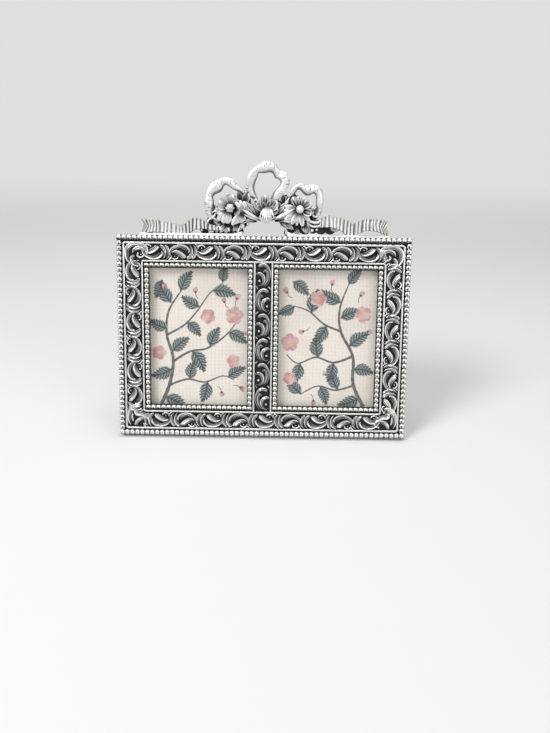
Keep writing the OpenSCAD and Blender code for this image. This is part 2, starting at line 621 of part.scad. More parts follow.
// Turn buttons and their screws: places, with x pointing the way the button points
button_places = [[-top_button_x, frame_h - button_inset, -90], [top_button_x, frame_h - button_inset, -90],
    [-frame_w / 2 + button_inset, side_button_h, 0], [frame_w / 2 - button_inset, side_button_h, 180]];
module at_button(i) translate([button_places[i].x, button_places[i].y, 0])
    rotate([0, 0, button_places[i].z]) children();
module at_screws() for (i = [0 : len(button_places) - 1]) at_button(i) children();
module turn_button(i) color(brass) stand() at_button(i) translate([0, 0, -button_gap - button_t])
    difference() {
        union() {
            cylinder(d = button_w, h = button_t);
            translate([0, -button_w / 2, 0]) cube([button_l - button_w, button_w, button_t]);
            translate([button_l - button_w, 0, 0]) cylinder(d = button_w, h = button_t);
        }
        translate([0, 0, -overrun])
            cylinder(d = screw_d + 2 * button_run, h = button_t + 2 * overrun);
    }
module turn_button_top_left() turn_button(0);
module turn_button_top_right() turn_button(1);
module turn_button_left() turn_button(2);
module turn_button_right() turn_button(3);

// Domed head that stands on z = 0
module dome(d, h) {
    r = (d * d / 4 + h * h) / (2 * h);
    rotate_extrude() intersection() {
        translate([0, h - r]) circle(r);
        square([d, h]);
    }
}
module turn_button_screws() {
    head_z = -2 * button_gap - button_t;
    color(steel) stand() at_screws() difference() {
        union() {
            translate([0, 0, head_z]) cylinder(d = screw_d, h = screw_l - head_z);
            translate([0, 0, head_z]) mirror([0, 0, 1]) dome(screw_head_d, screw_head_h);
        }
        translate([0, 0, head_z - screw_head_h]) rotate([0, 0, 30])
            cube([2 * screw_head_d, screw_slot_w, 2 * screw_slot_h], center = true);
    }
}

// Hinge and strut. The strut's pieces are drawn folded flat and opened about the pin
module at_pin() translate([0, pivot_h, pivot_z]) children();
module opened() at_pin() rotate([strut_open, 0, 0]) translate([0, -pivot_h, -pivot_z]) children();
module pin_tube(r, x0, x1) at_pin() translate([x0, 0, 0]) rotate([0, 90, 0])
    cylinder(r = r, h = x1 - x0);
module at_board_rivets() for (side = [-1, 1])
    translate([side * fixed_rivet_x, pivot_h + fixed_leaf_h * 0.6, 0]) children();
module at_strut_rivets() for (side = [-1, 1])
    translate([side * moving_rivet_x, pivot_h - moving_leaf_h * 0.65, leaf_back_z]) children();

module hinge_fixed_leaf() color(brass) stand() difference() {
    union() {
        translate([-fixed_leaf_w / 2, pivot_h + knuckle_clear, -leaf_t])
            cube([fixed_leaf_w, fixed_leaf_h - knuckle_clear, leaf_t]);
        translate([-fixed_knuckle_w / 2, pivot_h, -leaf_t])
            cube([fixed_knuckle_w, fixed_leaf_h / 2, leaf_t]);
        pin_tube(knuckle_r, -fixed_knuckle_w / 2, fixed_knuckle_w / 2);
    }
    pin_tube(pin_d / 2, -hinge_w, hinge_w);
    at_board_rivets() cylinder(d = rivet_d, h = 4 * board_t, center = true);
}
module hinge_pin() color(steel) stand() {
    pin_tube(pin_d / 2, -hinge_w / 2 - knuckle_gap, hinge_w / 2 + knuckle_gap);
    for (side = [-1, 1]) at_pin() translate([side * (hinge_w / 2 + knuckle_gap), 0, 0])
        rotate([0, side * 90, 0]) dome(2 * pin_head_r, pin_head_h);
}
module hinge_board_rivets() color(steel) stand() at_board_rivets() {
    translate([0, 0, -leaf_t]) cylinder(d = rivet_d, h = board_t + leaf_t);
    translate([0, 0, -leaf_t]) mirror([0, 0, 1]) dome(rivet_head_d, rivet_head_h);
}
// Lengths of the moving leaf, each one section along the pin: x up the frame, y to the viewer
module along_pin(x0, x1) at_pin() translate([x0, 0, 0]) rotate([90, 0, 90])
    linear_extrude(x1 - x0) children();
module leaf_section(end_gap) rotate(strut_open) translate([-moving_leaf_h, -knuckle_r])
    square([moving_leaf_h - end_gap, leaf_t]);
module knuckle_section() {
    circle(knuckle_r);
    leaf_section(leaf_end_gap);
}
module hinge_moving_leaf() {
    inner = fixed_knuckle_w / 2 + knuckle_gap;
    heel_x = hinge_w / 2 - heel_w;
    color(brass) stand() difference() {
        union() {
            along_pin(-inner, inner) leaf_section(knuckle_clear);
            for (side = [0, 1]) mirror([side, 0, 0]) {
                along_pin(inner, heel_x) knuckle_section();
                along_pin(heel_x, hinge_w / 2) {
                    knuckle_section();
                    translate([0, -heel_gap - leaf_t - pivot_z]) square([heel_h, leaf_t]);
                }
            }
        }
        pin_tube(pin_d / 2 + pin_run, -hinge_w, hinge_w);
        opened() at_strut_rivets() cylinder(d = rivet_d, h = 4 * strut_t, center = true);
    }
}
module hinge_strut_rivets() color(steel) stand() opened() at_strut_rivets() {
    cylinder(d = rivet_d, h = leaf_t + strut_t);
    mirror([0, 0, 1]) dome(rivet_head_d, rivet_head_h);
}

// Strut: a tapering leg with round shoulders and two feet, cut level where it stands
module strut_outline() {
    r = strut_corner_r;
    top = pivot_h - strut_top_gap;
    half = strut_top_w / 2;
    foot = strut_foot_w / 2;
    polygon([[-foot, top - strut_l], [foot, top - strut_l], [half, top - r], [-half, top - r]]);
    for (side = [-1, 1]) translate([side * (half - r), top - r]) circle(r);
    translate([-half + r, top - 2 * r]) square([2 * (half - r), 2 * r]);
}
module strut_board() color([0.13, 0.13, 0.15]) difference() {
    stand() opened() difference() {
        translate([0, 0, leaf_back_z + leaf_t]) linear_extrude(strut_t) strut_outline();
        at_strut_rivets() cylinder(d = rivet_d, h = 4 * strut_t, center = true);
        translate([-foot_cut_w / 2, -foot_cut_h, leaf_back_z - overrun])
            cube([foot_cut_w, 2 * foot_cut_h, strut_t + 3 * overrun]);
    }
    below_floor();
}

front_frame();
crest();
outer_beading();
left_window_beading();
right_window_beading();
border_scrolls();
centre_scrolls();
left_glass();
right_glass();
left_print();
right_print();
left_filler_card();
right_filler_card();
backing_board();
turn_button_top_left();
turn_button_top_right();
turn_button_left();
turn_button_right();
turn_button_screws();
hinge_fixed_leaf();
hinge_moving_leaf();
hinge_pin();
hinge_board_rivets();
strut_board();
hinge_strut_rivets();
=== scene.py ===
import random
from math import cos, exp, hypot, pi, radians, sin, sqrt, tan

import bmesh
import bpy
from mathutils import Matrix, Vector


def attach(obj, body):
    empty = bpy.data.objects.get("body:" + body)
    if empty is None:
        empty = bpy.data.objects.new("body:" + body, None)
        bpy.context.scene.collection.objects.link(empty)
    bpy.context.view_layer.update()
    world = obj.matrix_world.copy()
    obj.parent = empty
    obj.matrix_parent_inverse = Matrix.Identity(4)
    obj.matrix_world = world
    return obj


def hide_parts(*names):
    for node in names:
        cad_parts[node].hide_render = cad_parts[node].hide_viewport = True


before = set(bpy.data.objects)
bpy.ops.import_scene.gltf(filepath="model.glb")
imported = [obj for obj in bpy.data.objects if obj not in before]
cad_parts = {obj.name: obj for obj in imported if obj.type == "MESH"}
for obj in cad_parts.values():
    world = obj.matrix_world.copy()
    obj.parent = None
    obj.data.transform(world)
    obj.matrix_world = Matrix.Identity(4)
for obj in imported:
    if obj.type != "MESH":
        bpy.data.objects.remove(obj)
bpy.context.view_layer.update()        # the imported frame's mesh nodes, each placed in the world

print("frame loaded")

# Sizes of the casting in millimetres, measured on its own face: x right, y up the frame, z to the viewer
casting = {
    "width": 112, "height": 77.5, "lean": 14, "footFlat": 2.4, "floor": 6.4,
    "bandSide": 6.2, "bandEnd": 6, "bandMid": 6, "outerFillet": 0.8, "innerFillet": 0.7,
    "groove": 0.35, "lip": 0.25, "outerStep": 0.9, "innerStep": 0.65,
    "outerBead": 2.15, "outerPitch": 1.97, "windowBead": 1.7, "windowPitch": 2, "beadFlat": 0.2,
    "board": 2, "filler": 0.6, "sightLap": 2.2, "paneClear": 0.2,
}
beadRebate = casting["outerBead"] + casting["groove"]
windowRebate = casting["groove"] + casting["windowBead"] + casting["lip"]
trimWidth = beadRebate + casting["outerFillet"] + casting["innerFillet"] + windowRebate
barWidth = casting["bandMid"] + 2 * (casting["innerFillet"] + windowRebate)
windowWidth = (casting["width"] - 2 * (trimWidth + casting["bandSide"]) - barWidth) / 2
windowHeight = casting["height"] - 2 * (trimWidth + casting["bandEnd"])
windowMiddle = (barWidth + windowWidth) / 2
middleHeight = casting["height"] / 2
bandFloor = casting["floor"]

lean = radians(casting["lean"])
footLift = casting["footFlat"] * sin(lean) * cos(lean)
footShift = footLift * (1 / tan(lean) - tan(lean)) / 2
stand = (Matrix.Scale(0.001, 4) @ Matrix.Translation((0, footShift, -footLift))
         @ Matrix.Rotation(pi / 2 - lean, 4, "X"))
faceNormal = (stand.to_3x3() @ Vector((0, 0, 1))).normalized()
faceStart = stand @ Vector((0, 0, 0))


# Shader maths: a wire is one socket, and arithmetic on it adds Math nodes
class Wire:
    def __init__(self, finish, socket):
        self.finish, self.socket = finish, socket

    def maths(self, operation, *others, flip=False):
        values = [self, *others]
        if flip:
            values.reverse()
        return self.finish.node("ShaderNodeMath", {"operation": operation}, dict(enumerate(values)))

    def __add__(self, other):
        return self.maths("ADD", other)

    def __sub__(self, other):
        return self.maths("SUBTRACT", other)

    def __rsub__(self, other):
        return self.maths("SUBTRACT", other, flip=True)

    def __mul__(self, other):
        return self.maths("MULTIPLY", other)

    __radd__ = __add__
    __rmul__ = __mul__

    def least(self, other):
        return self.maths("MINIMUM", other)

    def most(self, other):
        return self.maths("MAXIMUM", other)

    def sine(self):
        return self.maths("SINE")

    def size(self):
        return self.maths("ABSOLUTE")

    # 0 below low and 1 above high, eased between them
    def between(self, low, high):
        return self.finish.node("ShaderNodeMapRange", {"interpolation_type": "SMOOTHSTEP"},
                                {"Value": self, "From Min": low, "From Max": high})


class Finish:
    def __init__(self, name, **fixed):
        self.material = bpy.data.materials.new(name)
        self.material.use_nodes = True
        self.tree = self.material.node_tree
        self.tree.nodes.clear()
        self.shader = self.tree.nodes.new("ShaderNodeBsdfPrincipled")
        self.output = self.tree.nodes.new("ShaderNodeOutputMaterial")
        self.tree.links.new(self.shader.outputs[0], self.output.inputs[0])
        self.wear(**fixed)

    def node(self, kind, settings=None, inputs=None, output=0):
        made = self.tree.nodes.new(kind)
        for name, value in (settings or {}).items():
            setattr(made, name, value)
        for socket, value in (inputs or {}).items():
            self.feed(made.inputs[socket], value)
        return Wire(self, made.outputs[output])

    def feed(self, socket, value):
        if isinstance(value, Wire):
            self.tree.links.new(value.socket, socket)
        else:
            socket.default_value = value

    def wear(self, **wires):
        for socket, value in wires.items():
            self.feed(self.shader.inputs[socket.replace("_", " ")], value)
        return self.material

    def blend(self, share, low, high):
        return self.node("ShaderNodeMix", {"data_type": "RGBA"}, {0: share, 6: low, 7: high}, 2)

    def place(self):
        return self.node("ShaderNodeTexCoord", output=3)

    def noise(self, scale, detail=3):
        values = {"Vector": self.place(), "Scale": scale, "Detail": detail}
        return self.node("ShaderNodeTexNoise", {}, values)

    def along(self, where, direction):
        return self.node("ShaderNodeVectorMath", {"operation": "DOT_PRODUCT"}, {0: where, 1: direction}, 1)

    def bump(self, height, strength, distance):
        values = {"Height": height, "Strength": strength, "Distance": distance}
        return self.node("ShaderNodeBump", {}, values)


# Antique silver: bright where hands rub it, blackened in the hollows and on the floor of the bands, and
# darkened by the painted shade that the pieces' maps carry
silverLook = {
    "bright": (0.78, 0.78, 0.755, 1), "grey": (0.38, 0.385, 0.38, 1), "black": (0.012, 0.014, 0.015, 1),
    "warm": (0.76, 0.75, 0.60, 1), "warmShare": 0.2, "greyShare": 0.35, "cloud": 420, "speckle": 2600,
    "tint": 160, "bandTop": 0.3, "faceOn": (0.75, 0.95), "crevice": (0.1, 0.62), "creviceDirt": 0.85,
    "patchy": 0.3, "patinaAndShadeMask": (0.1, 0.85), "tinted": (0.55, 0.72), "greyed": (0.4, 0.8), "dulling": 0.33,
    "dirtMetal": 0.55, "uneven": 0.12, "pits": 0.6, "pitting": 0.00004,
}


# reach is how far a crevice is seen for dirt, in metres
def silverFinish(name, banded, reach, shine, grain):
    look = silverLook
    f = Finish(name, Specular_IOR_Level=0.5)
    # each piece's map: patina in its hollows, and painted shade on beads, blade roots and ribbon creases
    darkShare = f.node("ShaderNodeAttribute", {"attribute_name": "hollow"}, output=2)
    if banded:
        depth = (f.along(f.place(), tuple(faceNormal)) - faceNormal.dot(faceStart)) * 1000
        toViewer = f.along(f.node("ShaderNodeNewGeometry", output=1), tuple(faceNormal))
        level = depth.between(bandFloor + 0.02, bandFloor + look["bandTop"])
        darkShare = darkShare.most(toViewer.between(*look["faceOn"]) * (1 - level))
    opening = f.node("ShaderNodeAmbientOcclusion", {"samples": 8}, {"Distance": reach}, 1)
    crevice = 1 - opening.between(*look["crevice"])
    cloud = f.noise(look["cloud"], 4)
    speckle = f.noise(look["speckle"], 2)
    hidden = darkShare.most(crevice * look["creviceDirt"])
    # blackening by patina and by painted shade
    patinaAndShadeMask = (hidden + (cloud - 0.5) * look["patchy"]).between(*look["patinaAndShadeMask"])
    tint = f.noise(look["tint"], 2).between(*look["tinted"]) * look["warmShare"]
    rubbed = f.blend(tint, look["bright"], look["warm"])
    greyed = f.blend(speckle.between(*look["greyed"]) * look["greyShare"], rubbed, look["grey"])
    return f.wear(Base_Color=f.blend(patinaAndShadeMask, greyed, look["black"]), Metallic=1 - patinaAndShadeMask * look["dirtMetal"],
                  Roughness=shine + patinaAndShadeMask * look["dulling"] + (speckle - 0.5) * look["uneven"],
                  Normal=f.bump(speckle + cloud * look["pits"], grain, look["pitting"]))


def boardFinish(name, tone, lint):
    f = Finish(name, Metallic=0, Specular_IOR_Level=0.35)
    grain = f.noise(1500)
    return f.wear(Base_Color=f.blend(grain.between(0.35, 0.75), tone, lint),
                  Roughness=0.62 + grain * 0.25, Normal=f.bump(grain, 0.5, 0.00006))


def brightFinish(name, tone, dull, shine):
    f = Finish(name, Metallic=1)
    smear = f.noise(350)
    return f.wear(Base_Color=f.blend(smear.between(0.45, 0.75), tone, dull),
                  Roughness=shine + smear * 0.2, Normal=f.bump(f.noise(1800, 2), 0.15, 0.00002))


def glassFinish():
    return Finish("clearPane", Base_Color=(0.93, 0.96, 0.95, 1), Roughness=0.03, Metallic=0, IOR=1.5,
                  Alpha=0.04).material


# Linen card: fine threads both ways, warm cream
linenLook = {
    "cream": (0.86, 0.795, 0.72, 1), "shade": (0.68, 0.60, 0.54, 1), "threads": 4400, "sway": 300,
    "fibre": 900, "stain": 55, "nap": 0.00003,
}


def linenFinish():
    look = linenLook
    f = Finish("linenCard", Metallic=0, Specular_IOR_Level=0.2)
    where = f.place()
    across = (f.along(where, (1, 0, 0)) * look["threads"] + f.noise(look["sway"], 2) * 5).sine()
    up = f.along(where, tuple(stand.to_3x3() @ Vector((0, 1000, 0)))) * look["threads"]
    weave = (across * 0.6 + up.sine() * 0.4) * 0.25 + f.noise(look["fibre"]) * 0.6
    stain = f.noise(look["stain"], 2).between(0.38, 0.72) * 0.5
    share = (weave.between(0.15, 0.7) * 0.5 + stain).least(1)
    return f.wear(Base_Color=f.blend(share, look["cream"], look["shade"]),
                  Roughness=0.85 + weave * 0.05, Normal=f.bump(weave, 0.2, look["nap"]))


# Inks of the picture. Leaves carry their veins on their own map: u from stalk to tip, v across
inkLook = {
    "leaf": (0.038, 0.050, 0.056, 1), "leafPale": (0.085, 0.108, 0.114, 1), "vein": (0.34, 0.40, 0.39, 1),
    "midrib": (0.018, 0.024, 0.028, 1), "veins": 44, "veinSlant": 0.26,
    "stem": (0.070, 0.062, 0.058, 1), "stemPale": (0.16, 0.145, 0.135, 1),
    "petal": (0.52, 0.235, 0.26, 1), "petalPale": (0.74, 0.52, 0.51, 1),
    "heart": (0.60, 0.42, 0.13, 1), "heartPale": (0.76, 0.62, 0.30, 1),
}


def leafInk():
    f = Finish("leafInk", Metallic=0, Specular_IOR_Level=0.2)
    chart = f.node("ShaderNodeTexCoord", output=2)
    u = f.along(chart, (1, 0, 0))
    v = (f.along(chart, (0, 1, 0)) - 0.5).size() * 2
    stripes = ((u - v * inkLook["veinSlant"]) * inkLook["veins"]).sine().between(0, 0.9)
    ribs = stripes * (1 - v.between(0.8, 1)) * v.between(0.02, 0.2)
    midrib = 1 - v.between(0.04, 0.14)
    soft = f.noise(700).between(0.3, 0.75)
    body = f.blend(soft * 0.8, inkLook["leaf"], inkLook["leafPale"])
    veined = f.blend(ribs * 0.85, body, inkLook["vein"])
    return f.wear(Base_Color=f.blend(midrib * 0.8, veined, inkLook["midrib"]), Roughness=0.8 + soft * 0.1)


def plainInk(name, scale):
    f = Finish(name + "Ink", Metallic=0, Specular_IOR_Level=0.2)
    soft = f.noise(scale).between(0.3, 0.7)
    colour = f.blend(soft, inkLook[name], inkLook[name + "Pale"])
    return f.wear(Base_Color=colour, Roughness=0.8 + soft * 0.1)


finishes = {
    "silver": silverFinish("bandSilver", True, 0.0009, 0.26, 0.25),
    "crest": silverFinish("crestSilver", False, 0.0013, 0.5, 0.1),
    "glass": glassFinish(), "linen": linenFinish(), "leaf": leafInk(),
    "stem": plainInk("stem", 900), "petal": plainInk("petal", 420), "heart": plainInk("heart", 800),
    "board": boardFinish("blackBoard", (0.012, 0.012, 0.014, 1), (0.045, 0.045, 0.05, 1)),
    "card": boardFinish("fillerCard", (0.46, 0.38, 0.27, 1), (0.58, 0.50, 0.38, 1)),
    "brass": brightFinish("brass", (0.78, 0.60, 0.28, 1), (0.50, 0.36, 0.15, 1), 0.24),
    "steel": brightFinish("steel", (0.66, 0.67, 0.68, 1), (0.42, 0.43, 0.44, 1), 0.26),
}
print("finishes made")


def show(name, data):
    made = bpy.data.objects.new(name, data)
    bpy.context.scene.collection.objects.link(made)
    return made


# Stock gathers the points and faces of one piece, in millimetres on the casting's face
class Stock:
    def __init__(self):
        self.points, self.faces, self.hollows, self.tones, self.charts = [], [], [], [], []

    # Closed skin over rings with the same count of points, capped at both ends. The chart is one
    # ring's map
    def skin(self, rings, hollows=None, tone=0, chart=None):
        start, m = len(self.points), len(rings[0])
        last = (len(rings) - 1) * m
        self.points += [p for ring in rings for p in ring]
        self.hollows += [h for ring in hollows for h in ring] if hollows else [0] * len(rings) * m
        faces = [[i * m + j, i * m + (j + 1) % m, (i + 1) * m + (j + 1) % m, (i + 1) * m + j]
                 for i in range(len(rings) - 1) for j in range(m)]
        faces += [list(range(m))[::-1], [last + j for j in range(m)]]
        self.faces += [[start + k for k in face] for face in faces]
        self.tones += [tone] * len(faces)
        self.charts += [chart[k % m] if chart else (0, 0) for face in faces for k in face]

    def piece(self, name, materials, slot, replaces, crease=55):
        mesh = bpy.data.meshes.new(name)
        mesh.from_pydata([stand @ Vector(p) for p in self.points], [], self.faces)
        for material in materials:
            mesh.materials.append(finishes[material])
        mesh.polygons.foreach_set("material_index", self.tones)
        # the map holds patina in hollows, and painted shade where a piece paints it
        mesh.attributes.new("hollow", "FLOAT", "POINT").data.foreach_set("value", self.hollows)
        mesh.uv_layers.new(name="chart").data.foreach_set("uv", [c for uv in self.charts for c in uv])
        work = bmesh.new()
        work.from_mesh(mesh)
        bmesh.ops.recalc_face_normals(work, faces=work.faces)
        work.to_mesh(mesh)
        work.free()
        mesh.shade_smooth()
        mesh.set_sharp_from_angle(angle=radians(crease))
        made = show(name, mesh)
        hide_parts(*replaces)
        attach(made, "frame")


# A smooth run through control rows, each row a tuple of numbers
def smoothRun(rows, steps):
    made = []
    for i in range(len(rows) - 1):
        a, b = rows[max(i - 1, 0)], rows[i]
        c, d = rows[i + 1], rows[min(i + 2, len(rows) - 1)]
        for k in range(steps):
            t = k / steps
            made.append(tuple((2 * q + (r - p) * t + (2 * p - 5 * q + 4 * r - s) * t * t
                               + (3 * q - 3 * r + s - p) * t ** 3) / 2 for p, q, r, s in zip(a, b, c, d)))
    return made + [tuple(rows[-1])]


# The same run at even steps of length, with each row's length from the start
def evenRun(rows, step, spread=24):
    fine = smoothRun(rows, spread)
    lengths = [0]
    for a, b in zip(fine, fine[1:]):
        lengths.append(lengths[-1] + hypot(b[0] - a[0], b[1] - a[1]))
    count = max(4, round(lengths[-1] / step))
    made, k = [], 0
    for i in range(count + 1):
        want = lengths[-1] * i / count
        while k < len(fine) - 2 and lengths[k + 1] < want:
            k += 1
        t = (want - lengths[k]) / max(lengths[k + 1] - lengths[k], 1e-9)
        made.append(tuple(a + (b - a) * held(t) for a, b in zip(fine[k], fine[k + 1])) + (want,))
    return made


def heading(rows, i):
    a, b = rows[max(i - 1, 0)], rows[min(i + 1, len(rows) - 1)]
    size = hypot(b[0] - a[0], b[1] - a[1]) or 1
    return (b[0] - a[0]) / size, (b[1] - a[1]) / size


def aim(angle):
    return cos(radians(angle)), sin(radians(angle))


# Angles of a ring's points. The first is a share of a step on
def around(count, ahead=0):
    return [2 * pi * (k + ahead) / count for k in range(count)]


def held(value, low=0, high=1):
    return min(max(value, low), high)


# Where a unit of ornament goes on the face: turned, and turned over for every other one
def placer(x, y, turn=0, flip=1):
    c, s = aim(turn)
    return lambda u, v, z: (x + u * c - v * flip * s, y + u * s + v * flip * c, z)


# Beads: squarish blocks seated on a flat, each with a soft dark spot of painted shade on the side of the
# frame's foot
beading = {
    "square": 3.6, "squareUp": 2.4, "mostSwell": 1.04, "across": 16, "up": 8, "dent": 0.12, "touch": 0.98,
    "shade": 1.2, "shadeFrom": 0.3, "wire": 0.9, "wireSides": 6,
    # spot of painted shade on the beads of each run, which also dents them a little: to the right, down,
    # reach across and up, and darkness
    "top": (0, 0.62, 0.9, 0.55, 1), "foot": (0, 0.75, 0.6, 0.4, 0.55), "side": (0.2, 0.25, 0.42, 0.5, 0.9),
}


def bead(stock, x, y, z, size, reach, along, dentAndShadeSpot):
    r, q = size / 2, beading["square"]
    low = casting["beadFlat"] - r
    toRight, down, wide, high, dark = dentAndShadeSpot
    rings, hollows = [], []
    for i in range(beading["up"] + 1):
        climb = pi * (i / beading["up"] - 0.5)
        ring, shades = [], []
        for turn in around(beading["across"], 0.5):
            a, b, c = cos(climb) * cos(turn), cos(climb) * sin(turn), sin(climb)
            swell = (abs(a) ** q + abs(b) ** q + abs(c) ** beading["squareUp"]) ** (-1 / q)
            a, b, c = a * swell, b * swell, c * min(swell, beading["mostSwell"])
            right, up = (a * reach / 2, b * r) if along else (b * r, a * reach / 2)
            # the spot darkens the bead as painted shade, and dents it a little
            away = hypot((right - toRight * r) / wide, (up + down * r) / high) / r
            spot = exp(-away * away) if c > 0 else 0
            ring.append((x + right, y + up, z + max((c - beading["dent"] * spot) * r, low)))
            shades.append(min(1, max(dark * spot, beading["shade"] * max(0, beading["shadeFrom"] - c))))
        rings.append(ring)
        hollows.append(shades)
    stock.skin(rings, hollows)


def beadWire(stock, x0, y0, x1, y1, z):
    r, n = beading["wire"] / 2, beading["wireSides"]
    dx, dy = heading([(x0, y0), (x1, y1)], 0)
    stock.skin([[(x - dy * r * cos(t), y + dx * r * cos(t), z + r * sin(t)) for t in around(n)]
                for x, y in ((x0, y0), (x1, y1))], [[1] * n] * 2)


def beadRing(name, x, y, w, h, size, pitch, step, footShadeSpot):
    stock = Stock()
    z = bandFloor - step + size / 2 - casting["beadFlat"]
    acrossCount, upCount = round((w - size) / pitch) + 1, round((h - size) / pitch) + 1
    acrossStep, upStep = (w - size) / (acrossCount - 1), (h - size) / (upCount - 1)
    left, low = x - (w - size) / 2, y - (h - size) / 2
    right, high = left + (w - size), low + (h - size)
    wideBead, tallBead = acrossStep * beading["touch"], upStep * beading["touch"]
    toRight, *others = beading["side"]
    for u, v, spot, mirror in ((left, low, footShadeSpot, 1), (right, high, "top", -1)):
        for i in range(acrossCount):
            bead(stock, left + i * acrossStep, v, z, size, wideBead, True, beading[spot])
        for i in range(1, upCount - 1):
            bead(stock, u, low + i * upStep, z, size, tallBead, False, (toRight * mirror, *others))
        beadWire(stock, left, v, right, v, z)
        beadWire(stock, u, low, u, high, z)
    stock.piece(name + "Fine", ["silver"], "relief_silver", [name])


beadRing("outer_beading", 0, middleHeight, casting["width"], casting["height"], casting["outerBead"],
         casting["outerPitch"], casting["outerStep"], "foot")
for sideName, side in (("left", -1), ("right", 1)):
    rim = 2 * (casting["lip"] + casting["windowBead"])
    beadRing(sideName + "_window_beading", side * windowMiddle, middleHeight, windowWidth + rim,
             windowHeight + rim, casting["windowBead"], casting["windowPitch"], casting["innerStep"], "top")
print("beads strung")


# Scroll relief. Each leaf is a profile, a share of the rise and rows of place along, place across and
# half width: the first in hundredths of the unit's length, the others of the band's width. Every
# other unit is turned over
scrolls = {
    "rise": 1.12, "sunk": 0.3, "cornerReach": 0.6, "step": 0.16, "blunt": 0.03, "tailBlunt": 0.12,
    "bulge": 0.12, "bulgeReach": 1.1, "headRise": 0.3, "fall": 0.3, "eyeShare": 0.85, "eyeSides": 12,
    "darkFrom": 0.84, "darkSpan": 0.5, "endUnits": 9, "sideUnits": 6, "centreUnits": 6,
    "fat": {"wave": 1.22, "crescents": 1.12, "topCorner": 1.38, "footCorner": 1.36},
    # across the leaf: place from edge to edge and height, with a rim on one side of the gouge
    "gouged": [
        (-1, 0), (-0.97, 0.55), (-0.86, 0.92), (-0.6, 1), (-0.36, 0.9), (-0.16, 0.66), (0, 0.58),
        (0.16, 0.68), (0.3, 0.72), (0.44, 0.54), (0.58, 0.48), (0.74, 0.72), (0.88, 0.7), (1, 0),
    ],
    "plump": [
        (-1, 0), (-0.94, 0.42), (-0.8, 0.7), (-0.55, 0.9), (-0.25, 1), (0.1, 0.98), (0.4, 0.86),
        (0.7, 0.66), (0.9, 0.4), (1, 0),
    ],
    # levels of an eye: share of its radius and of its rise
    "eye": [(1, 0.1), (0.98, 0.35), (0.88, 0.6), (0.66, 0.8), (0.36, 0.92), (0.1, 0.95)],
    "wave": [
        ("gouged", 0.95, [(3, 30, 4), (1, 8, 6), (9, -18, 7.5), (25, -33, 8.5), (43, -37, 10),
            (60, -27, 13), (69, -9, 12), (68, 6, 4)]),
        ("gouged", 1, [(58, 42, 5), (55, 30, 12), (40, 10, 13), (23, 0, 11), (8, 10, 4)]),
        ("plump", 0.85, [(9, 20, 3), (8, 34, 4.5), (18, 44, 5), (30, 37, 5), (31, 25, 3)]),
        ("gouged", 0.95, [(64, 40, 5), (76, 29, 8.5), (83, 2, 8.5), (80, -26, 7), (73, -44, 3)]),
        ("gouged", 0.9, [(82, 42, 5), (93, 25, 8), (97.5, -4, 7.5), (94.5, -28, 6.5), (86, -44, 3)]),
        ("plump", 0.6, [(96, -48, 4.5), (103, -40, 4.5), (106, -24, 1.5)]),
    ],
    "crescents": [
        ("gouged", 1, [(17, 31, 6), (8, 18, 9), (6, -6, 9.5), (16, -26, 8), (35, -40, 6), (57, -40, 5),
            (78, -28, 4.5), (95, -4, 2)]),
        ("gouged", 0.9, [(35, 1, 4.5), (28.5, -15, 6), (41, -26, 6.5), (61, -23, 7.5), (78, -12, 6),
            (92, 6, 2)]),
        ("gouged", 1, [(47, 48, 3), (40, 29, 8), (49, 4, 10), (67, -3, 8.5), (82, 6, 5.5),
            (88, 23, 4.5), (83, 43, 3)]),
        ("plump", 0.7, [(-7, 30, 4), (-3, 40, 4.5), (4, 47, 3)]),
        ("plump", 0.6, [(-10, -46, 3), (-2, -39, 3), (4, -31, 2)]),
    ],
    "topCorner": [
        ("gouged", 1, [(80, -26, 5), (86, 6, 8.5), (72, 34, 10), (36, 46, 11), (-6, 44, 11),
            (-36, 14, 12), (-37, -24, 11), (-24, -56, 9), (8, -78, 4)]),
        ("gouged", 0.9, [(72, 2, 5), (58, 19, 8), (33, 23, 9), (8, 8, 8), (2, -14, 3)]),
        ("gouged", 0.9, [(14, -22, 5), (-6, -38, 8), (-2, -66, 9), (24, -84, 7), (44, -72, 4)]),
        ("plump", 0.75, [(38, -4, 4), (28, -22, 5.5), (40, -34, 5.5), (62, -30, 5), (66, -12, 4)]),
    ],
    "footCorner": [
        ("gouged", 1, [(36, -92, 6), (2, -88, 11), (-26, -64, 13), (-38, -28, 12), (-38, 10, 8),
            (-26, 40, 4)]),
        ("gouged", 1, [(0, -72, 7), (8, -40, 11), (42, -33, 12), (80, -14, 10), (92, 12, 8),
            (84, 40, 4)]),
        ("gouged", 0.9, [(0, 44, 6), (10, 16, 9), (34, -2, 9), (66, -2, 6)]),
        ("plump", 0.8, [(-16, -38, 4), (-20, -10, 6), (-14, 20, 4)]),
    ],
    # eyes of each unit: place along, place across and radius
    "eyes": {
        "wave": [(20, 27, 5)], "crescents": [(70, 25, 8.5)], "topCorner": [(50, -18, 6), (32, -56, 6)],
        "footCorner": [(32, -66, 7.5), (62, 32, 8)],
    },
}


# How dark the silver is at a height, as a share of the relief's full rise
def darkShare(height):
    t = held((scrolls["darkFrom"] - height) / scrolls["darkSpan"])
    return t * t * (3 - 2 * t)


